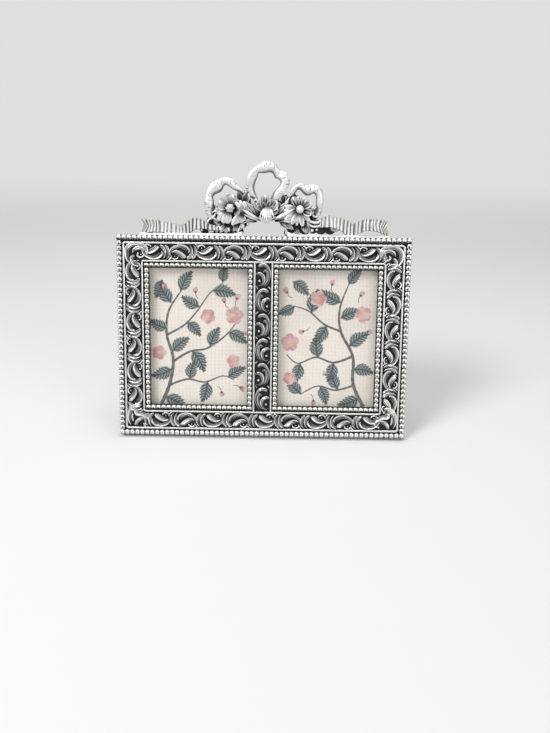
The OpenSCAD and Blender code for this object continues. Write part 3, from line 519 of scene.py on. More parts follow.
def reliefLeaf(stock, rows, place, rise, section):
    look = scrolls
    run = evenRun(rows, look["step"])
    total = run[-1][-1]
    head = max(row[2] for row in run[:max(2, len(run) // 3)])
    tail = run[-1][2] + look["tailBlunt"]
    rings, hollows = [], []
    for i, (x, y, half, length) in enumerate(run):
        dx, dy = heading(run, i)
        near = min(1, (length + look["blunt"]) / head)
        cap = sqrt(1 - (1 - near) ** 2) * sqrt(min(1, (total - length + look["blunt"]) / tail))
        bulge = 1 + look["bulge"] * exp(-((length - head) / (look["bulgeReach"] * head)) ** 2)
        tall = rise * bulge * (look["headRise"] + (1 - look["headRise"]) * cap)
        tall *= 1 - look["fall"] * (length / total) ** 2
        across = [(s, h * tall) for s, h in section] + [(1, -look["sunk"]), (-1, -look["sunk"])]
        rings.append([place(x - dy * s * half * cap, y + dx * s * half * cap, bandFloor + h)
                      for s, h in across])
        hollows.append([darkShare(h * tall / rise) for s, h in section] + [1, 1])
    stock.skin(rings, hollows)


def eyeBall(stock, x, y, r, place, rise):
    turns = around(scrolls["eyeSides"])
    levels = [(1, -scrolls["sunk"])] + scrolls["eye"]
    rings = [[place(x + r * w * cos(t), y + r * w * sin(t), bandFloor + rise * z) for t in turns]
             for w, z in levels]
    stock.skin(rings, [[max(0, 0.95 - max(z, 0) * 1.3)] * len(turns) for w, z in levels])


def ornament(stock, unit, length, width, place):
    for profile, share, rows in scrolls[unit]:
        sized = [(u / 100 * length, v / 100 * width, half / 100 * width * scrolls["fat"][unit])
                 for u, v, half in rows]
        turned = sized[1][0] - sized[0][0], sized[1][1] - sized[0][1]
        bend = sized[-1][0] - sized[0][0], sized[-1][1] - sized[0][1]
        over = turned[0] * bend[1] - turned[1] * bend[0] > 0
        section = scrolls[profile] if over else [(-s, h) for s, h in scrolls[profile][::-1]]
        reliefLeaf(stock, sized, place, scrolls["rise"] * share, section)
    for u, v, r in scrolls["eyes"][unit]:
        eyeBall(stock, u / 100 * length, v / 100 * width, r / 100 * width, place,
                scrolls["rise"] * scrolls["eyeShare"])


def scrollRun(stock, x, y, turn, run, width, unit, count, flip=1):
    length = run / count
    c, s = aim(turn)
    for i in range(count):
        start = i * length - run / 2
        place = placer(x + start * c, y + start * s, turn, -flip if i % 2 else flip)
        ornament(stock, unit, length, width, place)


def borderScrolls():
    stock = Stock()
    inset, corner = beadRebate + casting["outerFillet"], scrolls["cornerReach"]
    bandW, bandH = casting["width"] - 2 * inset, casting["height"] - 2 * inset
    midX, midY = (bandW - casting["bandSide"]) / 2, (bandH - casting["bandEnd"]) / 2
    for side in (1, -1):
        scrollRun(stock, 0, middleHeight + side * midY, 90 - 90 * side,
                  bandW - 2 * casting["bandSide"] - 2 * corner, casting["bandEnd"], "wave",
                  scrolls["endUnits"], side)
        scrollRun(stock, side * midX, middleHeight, 90 * side,
                  bandH - 2 * casting["bandEnd"] - 2 * corner, casting["bandSide"], "wave",
                  scrolls["sideUnits"])
        for end, unit in ((1, "topCorner"), (-1, "footCorner")):
            middle = placer(side * midX, middleHeight + end * midY)
            place = (lambda u, v, z, s=side, e=end, c=middle: c(-s * u, e * v, z))
            ornament(stock, unit, casting["bandSide"], casting["bandEnd"], place)
    stock.piece("borderScrollsFine", ["silver"], "relief_silver", ["border_scrolls"])


def centreScrolls():
    stock = Stock()
    scrollRun(stock, 0, middleHeight, -90, windowHeight + 2 * windowRebate, casting["bandMid"],
              "crescents", scrolls["centreUnits"], -1)
    stock.piece("centreScrollsFine", ["silver"], "relief_silver", ["centre_scrolls"])


borderScrolls()
centreScrolls()
print("scrolls cut")


# Crest: a bow of ruched ribbon over flowers. Places, widths and radii in its tables are thousandths of
# its height, from the middle of its foot
crest = {
    "height": 28.2, "width": 94.5, "middle": 0.3, "back": 1.2, "web": 1.3, "webSides": 24,
    "stripHeight": 0.9, "stripDepth": 4.6, "gap": 17, "thick": 1.5, "tailHeight": 7, "tailThick": 1.5,
}
webFront = crest["back"] + crest["web"]


def crestSized(rows):
    return [tuple(v / 1000 * crest["height"] for v in row) for row in rows]


def crestSkin(stock, rings, hollows):
    stock.skin([[(x + crest["middle"], y + casting["height"], z) for x, y, z in ring] for ring in rings],
               hollows)


# Ribbon rows: outer edge, inner edge and depth of the loop
bow = {
    "loop": [
        (-225, 550, -125, 510, 115), (-264, 645, -155, 625, 150), (-261, 725, -148, 722, 175),
        (-221, 817, -116, 800, 190), (-127, 923, -70, 828, 210), (12, 969, 10, 860, 220),
        (125, 940, 88, 842, 205), (200, 872, 138, 797, 175), (286, 815, 180, 765, 180),
        (312, 720, 196, 718, 185), (296, 640, 186, 655, 180), (238, 555, 142, 585, 175),
        (172, 485, 88, 515, 155), (125, 420, 55, 450, 125),
    ],
    "left": [
        (-275, 590, -295, 545, 125), (-365, 680, -375, 608, 150), (-437, 736, -442, 640, 175),
        (-546, 766, -530, 670, 185), (-655, 733, -590, 632, 180), (-745, 660, -650, 580, 165),
        (-800, 560, -705, 520, 165), (-811, 451, -712, 440, 170), (-803, 360, -712, 365, 155),
        (-780, 285, -708, 295, 140), (-735, 215, -680, 240, 125),
    ],
    "right": [
        (292, 550, 325, 510, 130), (360, 652, 392, 598, 155), (425, 697, 430, 626, 170),
        (490, 704, 468, 624, 175), (548, 680, 530, 588, 160), (618, 682, 592, 580, 165),
        (690, 665, 645, 586, 180), (745, 614, 672, 545, 185), (773, 545, 690, 490, 180),
        (773, 460, 698, 430, 170), (762, 375, 700, 370, 150), (735, 290, 680, 295, 130),
    ],
    "seeds": {"left": 3, "right": 5, "loop": 8},
    "step": 0.2, "lumps": 8.6, "lump": 0.09, "fold": 0.36, "foldLag": 1.1, "crown": 0.42, "swell": 0.06,
    # creases: pitch, depth, reach along and across, slant, and darkness on the flat, painted shade in them
    # and darkness inside
    "pitch": 1.15, "notch": 0.03, "notchAlong": 0.15, "notchAcross": 0.5, "slant": 0.25,
    "flat": 0.12, "creased": 0.8, "edged": 0.3, "lip": 0.5, "lipDrop": 0.375, "lipWave": 2.3,
    "across": (-1, -0.93, -0.8, -0.6, -0.35, -0.1, 0.15, 0.4, 0.62, 0.82, 0.94, 1),
}


# The ribbon's front is crowned, with faint short creases darkened by painted shade. Its far side shows as a
# dark scalloped lip along the inside of the loop
def ribbonLoop(stock, rows, seed):
    chance, look = random.Random(seed), bow
    run = evenRun(crestSized(rows), look["step"])
    total = run[-1][-1]
    creases = round(total / look["pitch"])
    kinds = [(chance.uniform(0.1, 1), chance.uniform(-0.9, 0.2), chance.uniform(-0.3, 0.3))
             for k in range(creases + 2)]
    rings, hollows = [], []
    for xo, yo, xi, yi, z, length in run:
        wide = hypot(xi - xo, yi - yo)
        dx, dy = (xi - xo) / wide, (yi - yo) / wide
        turn = 2 * pi * length / look["lumps"] + seed
        lump, fold = look["lump"] * sin(turn), look["fold"] * sin(turn + look["foldLag"])
        xo, yo, xi, yi = xo - dx * lump, yo - dy * lump, xi + dx * fold, yi + dy * fold
        at = length / total * creases
        near = [(at - k - skew, size, middle) for k, (size, middle, skew) in enumerate(kinds)
                if abs(at - k - skew) < 1.2]
        ring, shades = [], []
        for q in look["across"]:
            deep = max([0] + [size * exp(-((off - look["slant"] * (q - middle)) / look["notchAlong"]) ** 2
                                         - ((q - middle) / look["notchAcross"]) ** 2)
                              for off, size, middle in near])
            crown = crest["thick"] * (0.5 - look["crown"] * abs(q) ** 3)
            height = z + crown + look["swell"] * sin(turn) - look["notch"] * deep
            place = (q + 1) / 2 * hypot(xi - xo, yi - yo)
            ring.append((xo + dx * place, yo + dy * place, height))
            # painted shade darkens the creases
            shades.append(min(1, look["flat"] + look["creased"] * deep + look["edged"] * max(0, q) ** 6))
        wave = 0.5 + 0.5 * sin(2 * pi * length / (look["lipWave"] * look["lumps"]) + seed)
        lip = look["lip"] * (0.3 + 0.9 * wave)
        rear = z - crest["thick"] / 2 - 0.1
        # the lip and the back: reach beyond the inner edge, depth and darkness
        for reach, depth, dark in ((lip, z - look["lipDrop"], 0.62), (lip + 0.1, rear, 0.8),
                                   (-0.4 * wide, rear, 0.3), (-wide, rear, 0.4)):
            ring.append((xi + dx * reach, yi + dy * reach, depth))
            shades.append(dark)
        rings.append(ring)
        hollows.append(shades)
    crestSkin(stock, rings, hollows)


# Tail rows: place along in hundredths of half the crest, lower and upper edge and depth in hundredths
# of the tail's height
tails = {
    "left": [
        (100, 0, 87, 55), (94, 10, 88, 70), (87, 17, 84, 80), (79, 10, 77, 66), (71, 3, 64, 50),
        (64, 5, 67, 56), (59, 18, 92, 72), (55, 32, 99, 80), (50, 36, 87, 72), (44, 32, 62, 60),
        (38, 30, 54, 50),
    ],
    "right": [
        (100, 8, 87, 55), (95, 20, 95, 66), (89, 33, 102, 78), (81, 36, 103, 80), (75, 20, 92, 66),
        (71, 6, 80, 50), (66, 8, 94, 56), (61, 34, 106, 72), (55, 48, 114, 80), (50, 52, 120, 74),
        (44, 50, 100, 60),
    ],
    "seeds": {"left": 2, "right": 4},
    "step": 0.15, "pitch": 1.4, "flute": 0.45, "sharp": 1.1, "hem": 0.16, "flare": 0.25, "flareWide": 0.2,
    "notch": 2.2, "notchReach": 3.4, "flutes": 99, "flat": 0.1, "fluted": 0.64, "foot": 0.5, "rear": 0.35,
    "across": (0, 0.04, 0.12, 0.3, 0.5, 0.7, 0.84, 0.92, 1),
}


def ribbonTail(stock, rows, side, seed):
    chance, look, high = random.Random(seed), tails, crest["tailHeight"]
    run = evenRun([(x / 100 * crest["width"] / 2, z / 100 * high, low / 100 * high, up / 100 * high)
                   for x, low, up, z in rows], look["step"])
    sway = [(chance.uniform(-0.3, 0.3), chance.uniform(-0.22, 0.22), chance.uniform(0.6, 1))
            for k in range(look["flutes"])]
    first = run[0][0]
    rings, hollows = [], []
    for x, z, low, up, length in run:
        at = (first - x) / look["pitch"]
        k = int(at)
        tilt, drift, depth = (p * (1 - at + k) + q * (at - k) for p, q in zip(sway[k], sway[k + 1]))
        notch = look["notch"] * exp(-(first - x) / look["notchReach"])
        ring, shades = [], []
        for q in look["across"]:
            ridge = 0.5 + 0.5 * cos(2 * pi * (at + drift + tilt * (q - 0.5)))
            deep = (1 - ridge) ** look["sharp"] * depth * (0.1 + 0.9 * min(1, (1 - q) / look["hem"]))
            flare = look["flare"] * max(0, (q - 1) / look["flareWide"] + 1) ** 2
            ring.append((q, z - look["flute"] * deep + flare))
            shades.append(min(1, look["flat"] + look["fluted"] * deep + (look["foot"] if q == 0 else 0)))
        ring += [(q, z - crest["tailThick"]) for q in (1, 0.5, 0)]
        rings.append([(side * (x - notch * (1 - abs(2 * q - 1))), low + (up - low) * q,
                       crest["back"] + height) for q, height in ring])
        hollows.append(shades + [look["rear"]] * 3)
    crestSkin(stock, rings, hollows)


# A blade is a petal or a leaf: a thin shell from its root to its tip, bright along its rim and
# darker inside, with ribs that run along it, and painted shade towards its root
blades = {
    "petal": [0.30, 0.58, 0.84, 1, 1, 0.84, 0.42], "leaf": [0.22, 0.66, 0.95, 1, 0.80, 0.48, 0.06],
    "across": (-1, -0.9, -0.74, -0.55, -0.36, -0.18, 0, 0.18, 0.36, 0.55, 0.74, 0.9, 1),
    "backAcross": (1, 0.5, 0, -0.5, -1), "backLong": 0.98, "backWide": 0.94, "backDark": 0.85,
    "arch": 0.75, "level": 0.4, "ribDark": 0.45, "rootShade": 0.6,
    # kinds of blade: outline, cup, ribs, depth of the ribs, darkness inside, thickness, climb as a share
    "kinds": {
        "cup": ("petal", 0.5, 0, 0, 0.8, 0.5, 0.22), "shell": ("petal", 0.4, 2, 0.12, 0.78, 0.5, 0.22),
        "petal": ("petal", 0.36, 1, 0.1, 0.72, 0.5, 0.22), "pleat": ("leaf", -0.5, 0, 0, 0, 0.7, 0.3),
        "leaf": ("leaf", -0.26, 1, 0.18, 0.62, 0.6, 0.16), "strap": ("leaf", -0.4, 1, 0.05, 0.04, 0.7, 0.1),
        "bright": ("petal", -0.3, 2, 0.16, 0.46, 0.6, 0.2),
        "rough": ("leaf", 0.2, 3, 0.2, 0.85, 0.5, 0.14),
    },
}


# Lift is millimetres above the web, and bend a share of the blade's length
def blade(stock, kind, x0, y0, x1, y1, wide, lift, bend=0):
    shape, cup, ribs, flute, dark, thick, climb = blades["kinds"][kind]
    widths = blades[shape]
    x0, y0, x1, y1, wide = crestSized([(x0, y0, x1, y1, wide)])[0]
    long = hypot(x1 - x0, y1 - y0)
    c, s = (x1 - x0) / long, (y1 - y0) / long
    rings, hollows = [], []
    steps = 2 * (len(widths) - 1)
    for i in range(steps + 1):
        t = i / steps
        k = min(i // 2, len(widths) - 2)
        half = (widths[k] + (widths[k + 1] - widths[k]) * (i / 2 - k)) * wide / 2
        rise, shift = climb * long * sin(t * pi * blades["arch"]), bend * long * t * t
        front, shades = [], []
        for q in blades["across"]:
            wave = 0.5 + 0.5 * cos(2 * pi * ribs * q)
            inside = (1 - abs(q) ** 5) * (1 - t ** 9)
            height = rise + cup * wide / 2 * (q * q - blades["level"]) + flute * (wave - 0.5) * inside
            front.append((t * long, q * half + shift, height))
            # darker inside, and painted shade towards the root
            shades.append(held(dark * inside * (1 - blades["ribDark"] * wave)
                               + blades["rootShade"] * (1 - t) ** 3))
        back = [(t * long * blades["backLong"], q * half * blades["backWide"] + shift,
                 rise + cup * wide / 2 * (q * q - blades["level"]) - thick) for q in blades["backAcross"]]
        rings.append([(x0 + a * c - b * s, y0 + a * s + b * c, webFront + lift + d)
                      for a, b, d in front + back])
        hollows.append(shades + [blades["backDark"]] * len(back))
    crestSkin(stock, rings, hollows)


# Lobes swell out and in round the knob, and are darker where they are in
def knob(stock, x, y, r, lift, deep=1, squash=1, lobes=0):
    x, y, r = crestSized([(x, y, r)])[0]
    turns, lobe = around(flowers["knobSides"]), flowers["lobe"] if lobes else 0
    swells = [1 + lobe * cos(lobes * t) for t in turns]
    rings, hollows = [], []
    for w, h in flowers["knob"]:
        z = webFront + lift + h * r * deep
        rings.append([(x + r * w * cos(t) * b, y + r * w * sin(t) * squash * b, z)
                      for t, b in zip(turns, swells)])
        hollows.append([min(1, max(0, 0.42 - h) * 0.9 + (0.25 * (1 + lobe - b) / lobe if lobe else 0))
                        for b in swells])
    crestSkin(stock, rings, hollows)


# Blades by place and kind: root, tip, width, lift and bend
bouquet = {
    "behind": {
        "rough": [
            (-300, 420, -200, 600, 100, 0.5, 0.1), (-240, 440, -130, 570, 100, 0.7, -0.1),
            (-330, 440, -350, 600, 100, 0.4, 0.1), (260, 440, 240, 560, 100, 0.4, 0.1),
            (300, 420, 360, 570, 120, 0.6, 0.1), (360, 400, 420, 560, 120, 0.5, -0.1),
            (-660, 260, -680, 420, 120, 0.5, 0.1), (600, 240, 690, 400, 110, 0.5, -0.1),
            (-560, 200, -700, 220, 120, 0.4, 0.1), (200, 300, 200, 460, 110, 0.5, 0.1),
        ],
    },
    "roseToKnot": {
        "leaf": [
            (-90, 250, -250, 470, 85, 1, 0.08), (-80, 270, -180, 500, 80, 1.3, 0.05),
            (-70, 300, -110, 490, 80, 1.1, -0.05), (-160, 250, -280, 400, 80, 1.5, 0.1),
            (-110, 200, -270, 225, 60, 1.1, 0.1),
        ],
        "bright": [
            (-280, 290, -375, 455, 60, 1.9, 0.1), (-270, 300, -325, 470, 55, 2.1, 0.05),
            (-250, 300, -280, 460, 55, 1.9),
        ],
        "strap": [(-60, 215, -330, 345, 45, 2.3, -0.06), (-60, 205, -310, 285, 35, 1.8, -0.05)],
    },
    "knotToDaisy": {
        "strap": [(90, 215, 420, 345, 50, 2.2, 0.1)],
        "leaf": [
            (130, 205, 410, 295, 85, 1.4, 0.05), (140, 260, 290, 400, 80, 1.2, 0.1),
            (170, 310, 330, 460, 80, 1, 0.1),
        ],
        "bright": [(430, 370, 270, 410, 60, 1.9, 0.05), (440, 350, 250, 345, 65, 1.7)],
    },
    "hanging": {
        "leaf": [
            (200, 200, 330, 95, 80, 1, 0.1), (270, 190, 375, 85, 70, 1.5, 0.1),
            (540, 160, 555, 40, 70, 1.1), (400, 120, 470, 20, 60, 0.5), (-370, 160, -430, 60, 50, 1),
            (-420, 150, -370, 60, 50, 1.1), (640, 220, 780, 190, 70, 0.8, 0.1),
        ],
        "rough": [(500, 170, 600, 50, 100, 0.9, 0.1)],
    },
    "rose": {
        "cup": [
            (-465, 390, -445, 545, 175, 1.2), (-490, 370, -625, 450, 165, 1.5, -0.1),
            (-500, 340, -655, 335, 130, 1.2, 0.1), (-400, 390, -345, 475, 120, 1.4),
            (-400, 340, -345, 300, 110, 1.6),
        ],
        "bright": [
            (-500, 330, -645, 225, 90, 1.5, 0.1), (-490, 320, -570, 175, 100, 1.8),
            (-480, 320, -505, 165, 100, 2),
        ],
        "leaf": [
            (-520, 160, -620, 50, 70, 0.9, 0.1), (-500, 150, -530, 30, 60, 0.9),
            (-660, 140, -660, 30, 60, 0.8, 0.1), (-310, 170, -345, 70, 50, 0.9),
        ],
    },
    "bud": {
        "bright": [
            (-310, 300, -460, 165, 75, 2.2, 0.12), (-300, 285, -400, 165, 75, 2.3),
            (-290, 280, -335, 175, 70, 2), (-290, 290, -285, 200, 60, 1.7),
        ],
    },
    # a shell of petals with a gathered bud before it
    "knot": {
        "shell": [
            (10, 330, -105, 455, 130, 1.3, 0.1), (10, 330, -5, 540, 145, 1.5),
            (20, 330, 150, 470, 155, 1.7), (20, 320, 175, 360, 120, 1.6),
        ],
        "pleat": [
            (0, 385, -85, 245, 34, 2.2, 0.1), (60, 385, 135, 235, 34, 2.2, -0.08),
            (10, 390, -50, 195, 34, 2.5, 0.06), (50, 390, 100, 190, 34, 2.5, -0.06),
            (20, 400, -18, 160, 34, 2.8, 0.02), (45, 400, 62, 158, 34, 2.7, -0.02),
            (30, 395, 20, 150, 34, 3.2),
        ],
    },
    "daisy": {
        "petal": [
            (450, 380, 365, 520, 85, 1.5), (460, 390, 435, 525, 85, 1.8), (470, 390, 510, 520, 85, 1.6),
            (490, 380, 610, 455, 90, 1.8), (490, 370, 640, 395, 70, 1.3), (490, 350, 625, 305, 100, 1.8),
        ],
        "bright": [
            (470, 330, 505, 140, 70, 2), (450, 330, 425, 150, 50, 1.8), (450, 330, 355, 165, 70, 2.1),
            (440, 335, 265, 225, 90, 1.8), (490, 330, 600, 215, 55, 1.7),
        ],
    },
}
flowers = {
    # knobs: place, radius, lift, depth, squash and lobes, on levels of width and height
    "knobs": [
        (466, 360, 55, 3.2, 0.8), (35, 345, 50, 1.6, 1, 1, 6), (-470, 366, 60, 2.3, 0.7, 1, 6),
        (-462, 374, 34, 3.3, 0.8, 1, 5), (-729, 62, 46, 0.7, 1, 1, 5), (-601, 101, 32, 0.9),
        (-490, 87, 24, 0.9, 1, 1.3), (-304, 137, 30, 1), (-229, 158, 18, 1), (-540, 60, 18, 0.6),
        (-857, 72, 20, 0.6), (292, 62, 24, 0.6, 1, 1.6), (635, 90, 26, 0.8), (860, 200, 26, 3),
        (920, 130, 22, 1.6), (-665, 330, 22, 1.8), (700, 100, 20, 0.6), (-350, 385, 18, 3),
    ],
    "knob": [(0.75, -1.3), (0.95, -0.5), (1, 0), (0.93, 0.38), (0.74, 0.68), (0.42, 0.9), (0.1, 1)],
    "knobSides": 14, "lobe": 0.12,
    # rings round a berry and on the rose's left petal: place, radius, half width and lift
    "rings": [(-304, 137, 22, 9, 1.6), (-630, 335, 28, 11, 1.6)],
    # backing discs: place and radius
    "web": [
        (-600, 290, 120), (-460, 340, 170), (-330, 380, 120), (-270, 490, 90), (-200, 530, 70),
        (-170, 360, 120), (30, 360, 130), (190, 370, 110), (290, 460, 100), (380, 500, 70), (340, 340, 120),
        (500, 320, 130), (640, 300, 80), (-700, 200, 90), (-720, 90, 85), (-600, 100, 85), (-490, 120, 100),
        (-390, 130, 85), (-310, 180, 70), (-200, 250, 70), (210, 250, 60), (340, 120, 75), (440, 130, 85),
        (540, 120, 85), (650, 130, 80), (760, 130, 90), (880, 120, 80), (-820, 100, 70), (300, 60, 45),
        (-340, 70, 50),
    ],
}


# Strands of ribbon between the bow and the tails: rows of place and half width
tendrils = {
    "lift": 0.9, "step": 0.3, "sides": 10, "blunt": 0.1, "point": 1.5, "proud": 1.6,
    "runs": [
        [(490, 280, 16), (572, 222, 20), (694, 190, 21), (760, 235, 21), (830, 300, 18)],
        [(555, 195, 14), (638, 143, 18), (734, 152, 19), (790, 215, 19), (850, 275, 16)],
        [(880, 120, 14), (950, 90, 18), (1010, 130, 18), (980, 190, 16), (910, 190, 12)],
        [(-800, 170, 14), (-740, 130, 20), (-660, 120, 20), (-600, 135, 14)],
        [(-785, 145, 12), (-755, 215, 16), (-690, 235, 16), (-630, 190, 14)],
        [(-770, 300, 12), (-740, 240, 16), (-680, 270, 16), (-660, 330, 12)],
        [(-755, 360, 10), (-715, 315, 13), (-665, 345, 12), (-660, 400, 10)],
        [(-200, 610, 10), (-225, 540, 14), (-180, 490, 14), (-120, 470, 10)],
        [(730, 310, 12), (690, 270, 15), (640, 290, 13), (650, 350, 10)],
        [(330, 530, 10), (290, 470, 13), (240, 420, 13), (190, 400, 10)],
        [(240, 190, 10), (260, 130, 13), (290, 80, 14), (300, 30, 14)],
        [(-240, 200, 10), (-310, 160, 13), (-350, 100, 14), (-370, 30, 14)],
    ],
}


def tendril(stock, rows, lift):
    look, turns = tendrils, around(tendrils["sides"], 0.5)
    run = evenRun(crestSized(rows), look["step"])
    total, z = run[-1][-1], webFront + lift
    rings, hollows = [], []
    for i, (x, y, r, length) in enumerate(run):
        dx, dy = heading(run, i)
        r *= sqrt(min(1, (min(length, total - length) + look["blunt"]) / (look["point"] * r)))
        rings.append([(x - dy * r * cos(t), y + dx * r * cos(t), z + r * look["proud"] * sin(t))
                      for t in turns])
        hollows.append([max(0, 0.2 - sin(t)) * 0.8 for t in turns])
    crestSkin(stock, rings, hollows)


# Every disc of the web has levels of its own, so that no two faces fall together
def webAndStrip(stock):
    back, n = crest["back"], crest["webSides"]
    for k, (x, y, r) in enumerate(crestSized(flowers["web"])):
        outline = [(x + r * cos(t), max(0.02, y + r * sin(t))) for t in around(n)]
        levels = (back + 0.006 * k, webFront - 0.005 * k)
        crestSkin(stock, [[(a, b, z) for a, b in outline] for z in levels], [[0.25] * n, [0.75] * n])
    half, gap, lip = crest["width"] / 2, crest["gap"] / 2, crest["stripHeight"]
    front = back + crest["stripDepth"]
    # depth, share of the height and darkness
    levels = [(back, 1, 0.5), (front - 0.4, 1, 0.05), (front - 0.1, 0.94, 0), (front, 0.75, 0)]
    for side in (-1, 1):
        outline = [(half, 0), (half, lip * 0.8), (half - 0.3, lip), (gap + 3 * lip, lip),
                   (gap + 1.4 * lip, 1.6 * lip), (gap + 0.2 * lip, 2 * lip), (gap, 1.7 * lip), (gap, 0)]
        crestSkin(stock, [[(side * a, b * w, z) for a, b in outline] for z, w, h in levels],
                  [[h] * len(outline) for z, w, h in levels])


def crestPiece():
    stock = Stock()
    webAndStrip(stock)
    for name, seed in bow["seeds"].items():
        ribbonLoop(stock, bow[name], seed)
    for name, side in (("left", -1), ("right", 1)):
        ribbonTail(stock, tails[name], side, tails["seeds"][name])
    for rows in tendrils["runs"]:
        tendril(stock, rows, tendrils["lift"])
    for x, y, r, half, lift in flowers["rings"]:
        turns = around(10) + [2 * pi]
        tendril(stock, [(x + r * cos(t), y + r * sin(t), half) for t in turns], lift)
    for group in bouquet.values():
        for kind, rows in group.items():
            for row in rows:
                blade(stock, kind, *row)
    for row in flowers["knobs"]:
        knob(stock, *row)
    stock.piece("crestFine", ["crest"], "antique_silver", ["crest"], 60)


crestPiece()
print("crest modelled")


# Pictures: linen cards printed with a spray of leaves and blossom, each print a thin film on the card.
# Places are millimetres from the window's middle. Rows of stems: x, y and half width; leaves: root x
# and y, angle, length, width; blossoms: x, y, radius, turn; buds: x, y, angle, length
pictures = {
    "card": 0.2, "film": 0.03, "firstShare": 0.6, "layerShare": 0.5, "cut": 1.6, "stemStep": 0.8,
    "teeth": 7, "tooth": 0.2, "notch": 0.08, "toothLean": 0.085, "curve": 0.06, "petals": 5,
    "petalSides": 14, "anthers": 6, "anther": 0.16, "antherReach": 0.28, "heart": 0.34,
    "leafLayer": 1.5, "petalLayer": 2.5, "petalLap": 0.25, "heartLayer": 4.2, "antherLayer": 4.6,
    # a bud's stalk, and its petals: turn, length, width, ink and layer
    "stalk": 1.2, "stalkWidth": 0.14, "stalkTurn": 0.3,
    "bud": [(-14, 1, 0.6, "petal", 2.4), (16, 0.85, 0.5, "petal", 2.9), (0, 0.4, 0.42, "stem", 3.3)],
    "left": {
        "stems": [
            [
                (-15.5, -27.5, 0.75), (-12, -19, 0.7), (-10.5, -9, 0.6), (-13, 1, 0.5), (-12, 10, 0.4),
                (-7, 18, 0.25),
            ],
            [(-10.6, -10, 0.5), (-4, -6, 0.42), (3, -4.5, 0.38), (10, 0.5, 0.3), (14.5, 6, 0.2)],
            [(-12.9, 0.5, 0.45), (-6, 4.5, 0.38), (-1, 10, 0.3), (4, 17, 0.25), (9, 21, 0.18)],
            [(-12.1, -19.5, 0.45), (-5, -17, 0.38), (2, -18, 0.32), (9, -15.5, 0.25), (13.5, -17, 0.2)],
        ],
        "leaves": [
            (-11, -13, 200, 8.5, 5.2), (-10.8, -6, 40, 8.5, 5), (-12.6, 3, 155, 7.5, 4.8),
            (-11, 13, 120, 9, 5.4), (-7.5, 17.5, 60, 9, 5.2), (-3, -5.6, 300, 9.5, 5.6),
            (4, -4, 65, 8.5, 5), (11, 2, 330, 8.5, 5), (-5, 5.6, 315, 7.5, 4.6), (0, 11.6, 150, 8, 4.8),
            (5, 18, 350, 9, 5.2), (-4, -17, 75, 7.5, 4.8), (3, -17.8, 255, 8.5, 5.2), (11, -16, 30, 8, 4.8),
            (-14, -24, 330, 10, 5.6), (9, 21, 80, 7, 4.2), (-14.5, 22, 250, 7.5, 5),
        ],
        "blossoms": [(13.5, 8.5, 3.6, 10), (3.2, 8, 3, 50), (13.2, -9.5, 2.8, 30), (-16, -6.5, 2.9, 0)],
        "buds": [
            (14.2, 14.4, 70, 2.8), (9.8, 13.2, 110, 2.4), (15.6, -19.8, 330, 2.6), (8.4, -21.6, 290, 2.4),
            (-1.5, 16.8, 100, 2.6), (-13.6, 18.2, 95, 2.5), (16.4, 1.2, 20, 2.3),
        ],
    },
    "right": {
        "stems": [
            [
                (15.5, -27.5, 0.75), (11, -18, 0.68), (10.5, -7, 0.58), (5.5, 3, 0.5), (5, 12, 0.38),
                (8.5, 22, 0.22),
            ],
            [(10.4, -7, 0.5), (3, -9.5, 0.42), (-4, -7.5, 0.36), (-11, -10, 0.28), (-15.5, -6.5, 0.2)],
            [(5.6, 2.8, 0.45), (-1, 5.5, 0.38), (-7, 10.5, 0.3), (-13, 12.5, 0.2)],
            [(11.2, -18.5, 0.45), (4, -20.5, 0.36), (-3, -19, 0.3), (-10, -22.5, 0.2)],
        ],
        "leaves": [
            (10.8, -12, 350, 8, 5), (9, -3, 35, 9, 5.4), (5.2, 8, 20, 8.5, 5), (5.4, 14, 150, 9, 5.2),
            (8, 21, 50, 7.5, 4.4), (3, -9.5, 255, 8, 4.8), (-3, -7.7, 95, 9, 5.4), (-10, -9.8, 250, 8.5, 5),
            (0, 5, 235, 8.5, 5.2), (-6, 9.8, 75, 9.5, 5.4), (-12.5, 12.4, 205, 7, 4.4),
            (5, -20.2, 110, 8, 4.8), (-2, -19.2, 290, 7.5, 4.6), (-9.5, -22.2, 130, 8.5, 5),
            (13.6, -23.5, 200, 9, 5.4), (-13.5, 22, 320, 8, 5),
        ],
        "blossoms": [(-14.2, -1.8, 3.6, 20), (-3.4, 15.4, 3.2, 0), (14, 9.6, 3.3, 40), (-14, -16, 2.7, 60)],
        "buds": [
            (-15.4, 17.2, 120, 2.8), (1.6, 20.4, 80, 2.6), (12.6, 16.4, 60, 2.6), (-4.6, -24.4, 280, 2.4),
            (15.6, 2.8, 10, 2.4), (-8.6, 2.8, 200, 2.5), (0.6, -14.6, 150, 2.3),
        ],
    },
}
cardLow = casting["board"] + casting["filler"]
cardTop = cardLow + pictures["card"]
inks = {"leaf": 1, "stem": 2, "petal": 3, "heart": 4}


def film(stock, outline, ink, layer, chart=None):
    top = cardTop + pictures["film"] * (pictures["firstShare"] + pictures["layerShare"] * layer)
    stock.skin([[(x, y, z) for x, y in outline] for z in (cardTop, top)], None, inks[ink], chart)


def clipped(x, y, middle):
    halfW, halfH = windowWidth / 2 + pictures["cut"], windowHeight / 2 + pictures["cut"]
    return (middle + held(x, -halfW, halfW), middleHeight + held(y, -halfH, halfH))


def printedStem(stock, rows, middle):
    run = evenRun(rows, pictures["stemStep"])
    sides = [[], []]
    for i, (x, y, half, length) in enumerate(run):
        dx, dy = heading(run, i)
        for side, reach in zip(sides, (-half, half)):
            off = reach * (1 + 0.12 * sin(length * 2.1))
            side.append((x - dy * off, y + dx * off))
    for a, b, c, d in zip(sides[0], sides[0][1:], sides[1][1:], sides[1]):
        film(stock, [clipped(*p, middle) for p in (a, b, c, d)], "stem", 0)


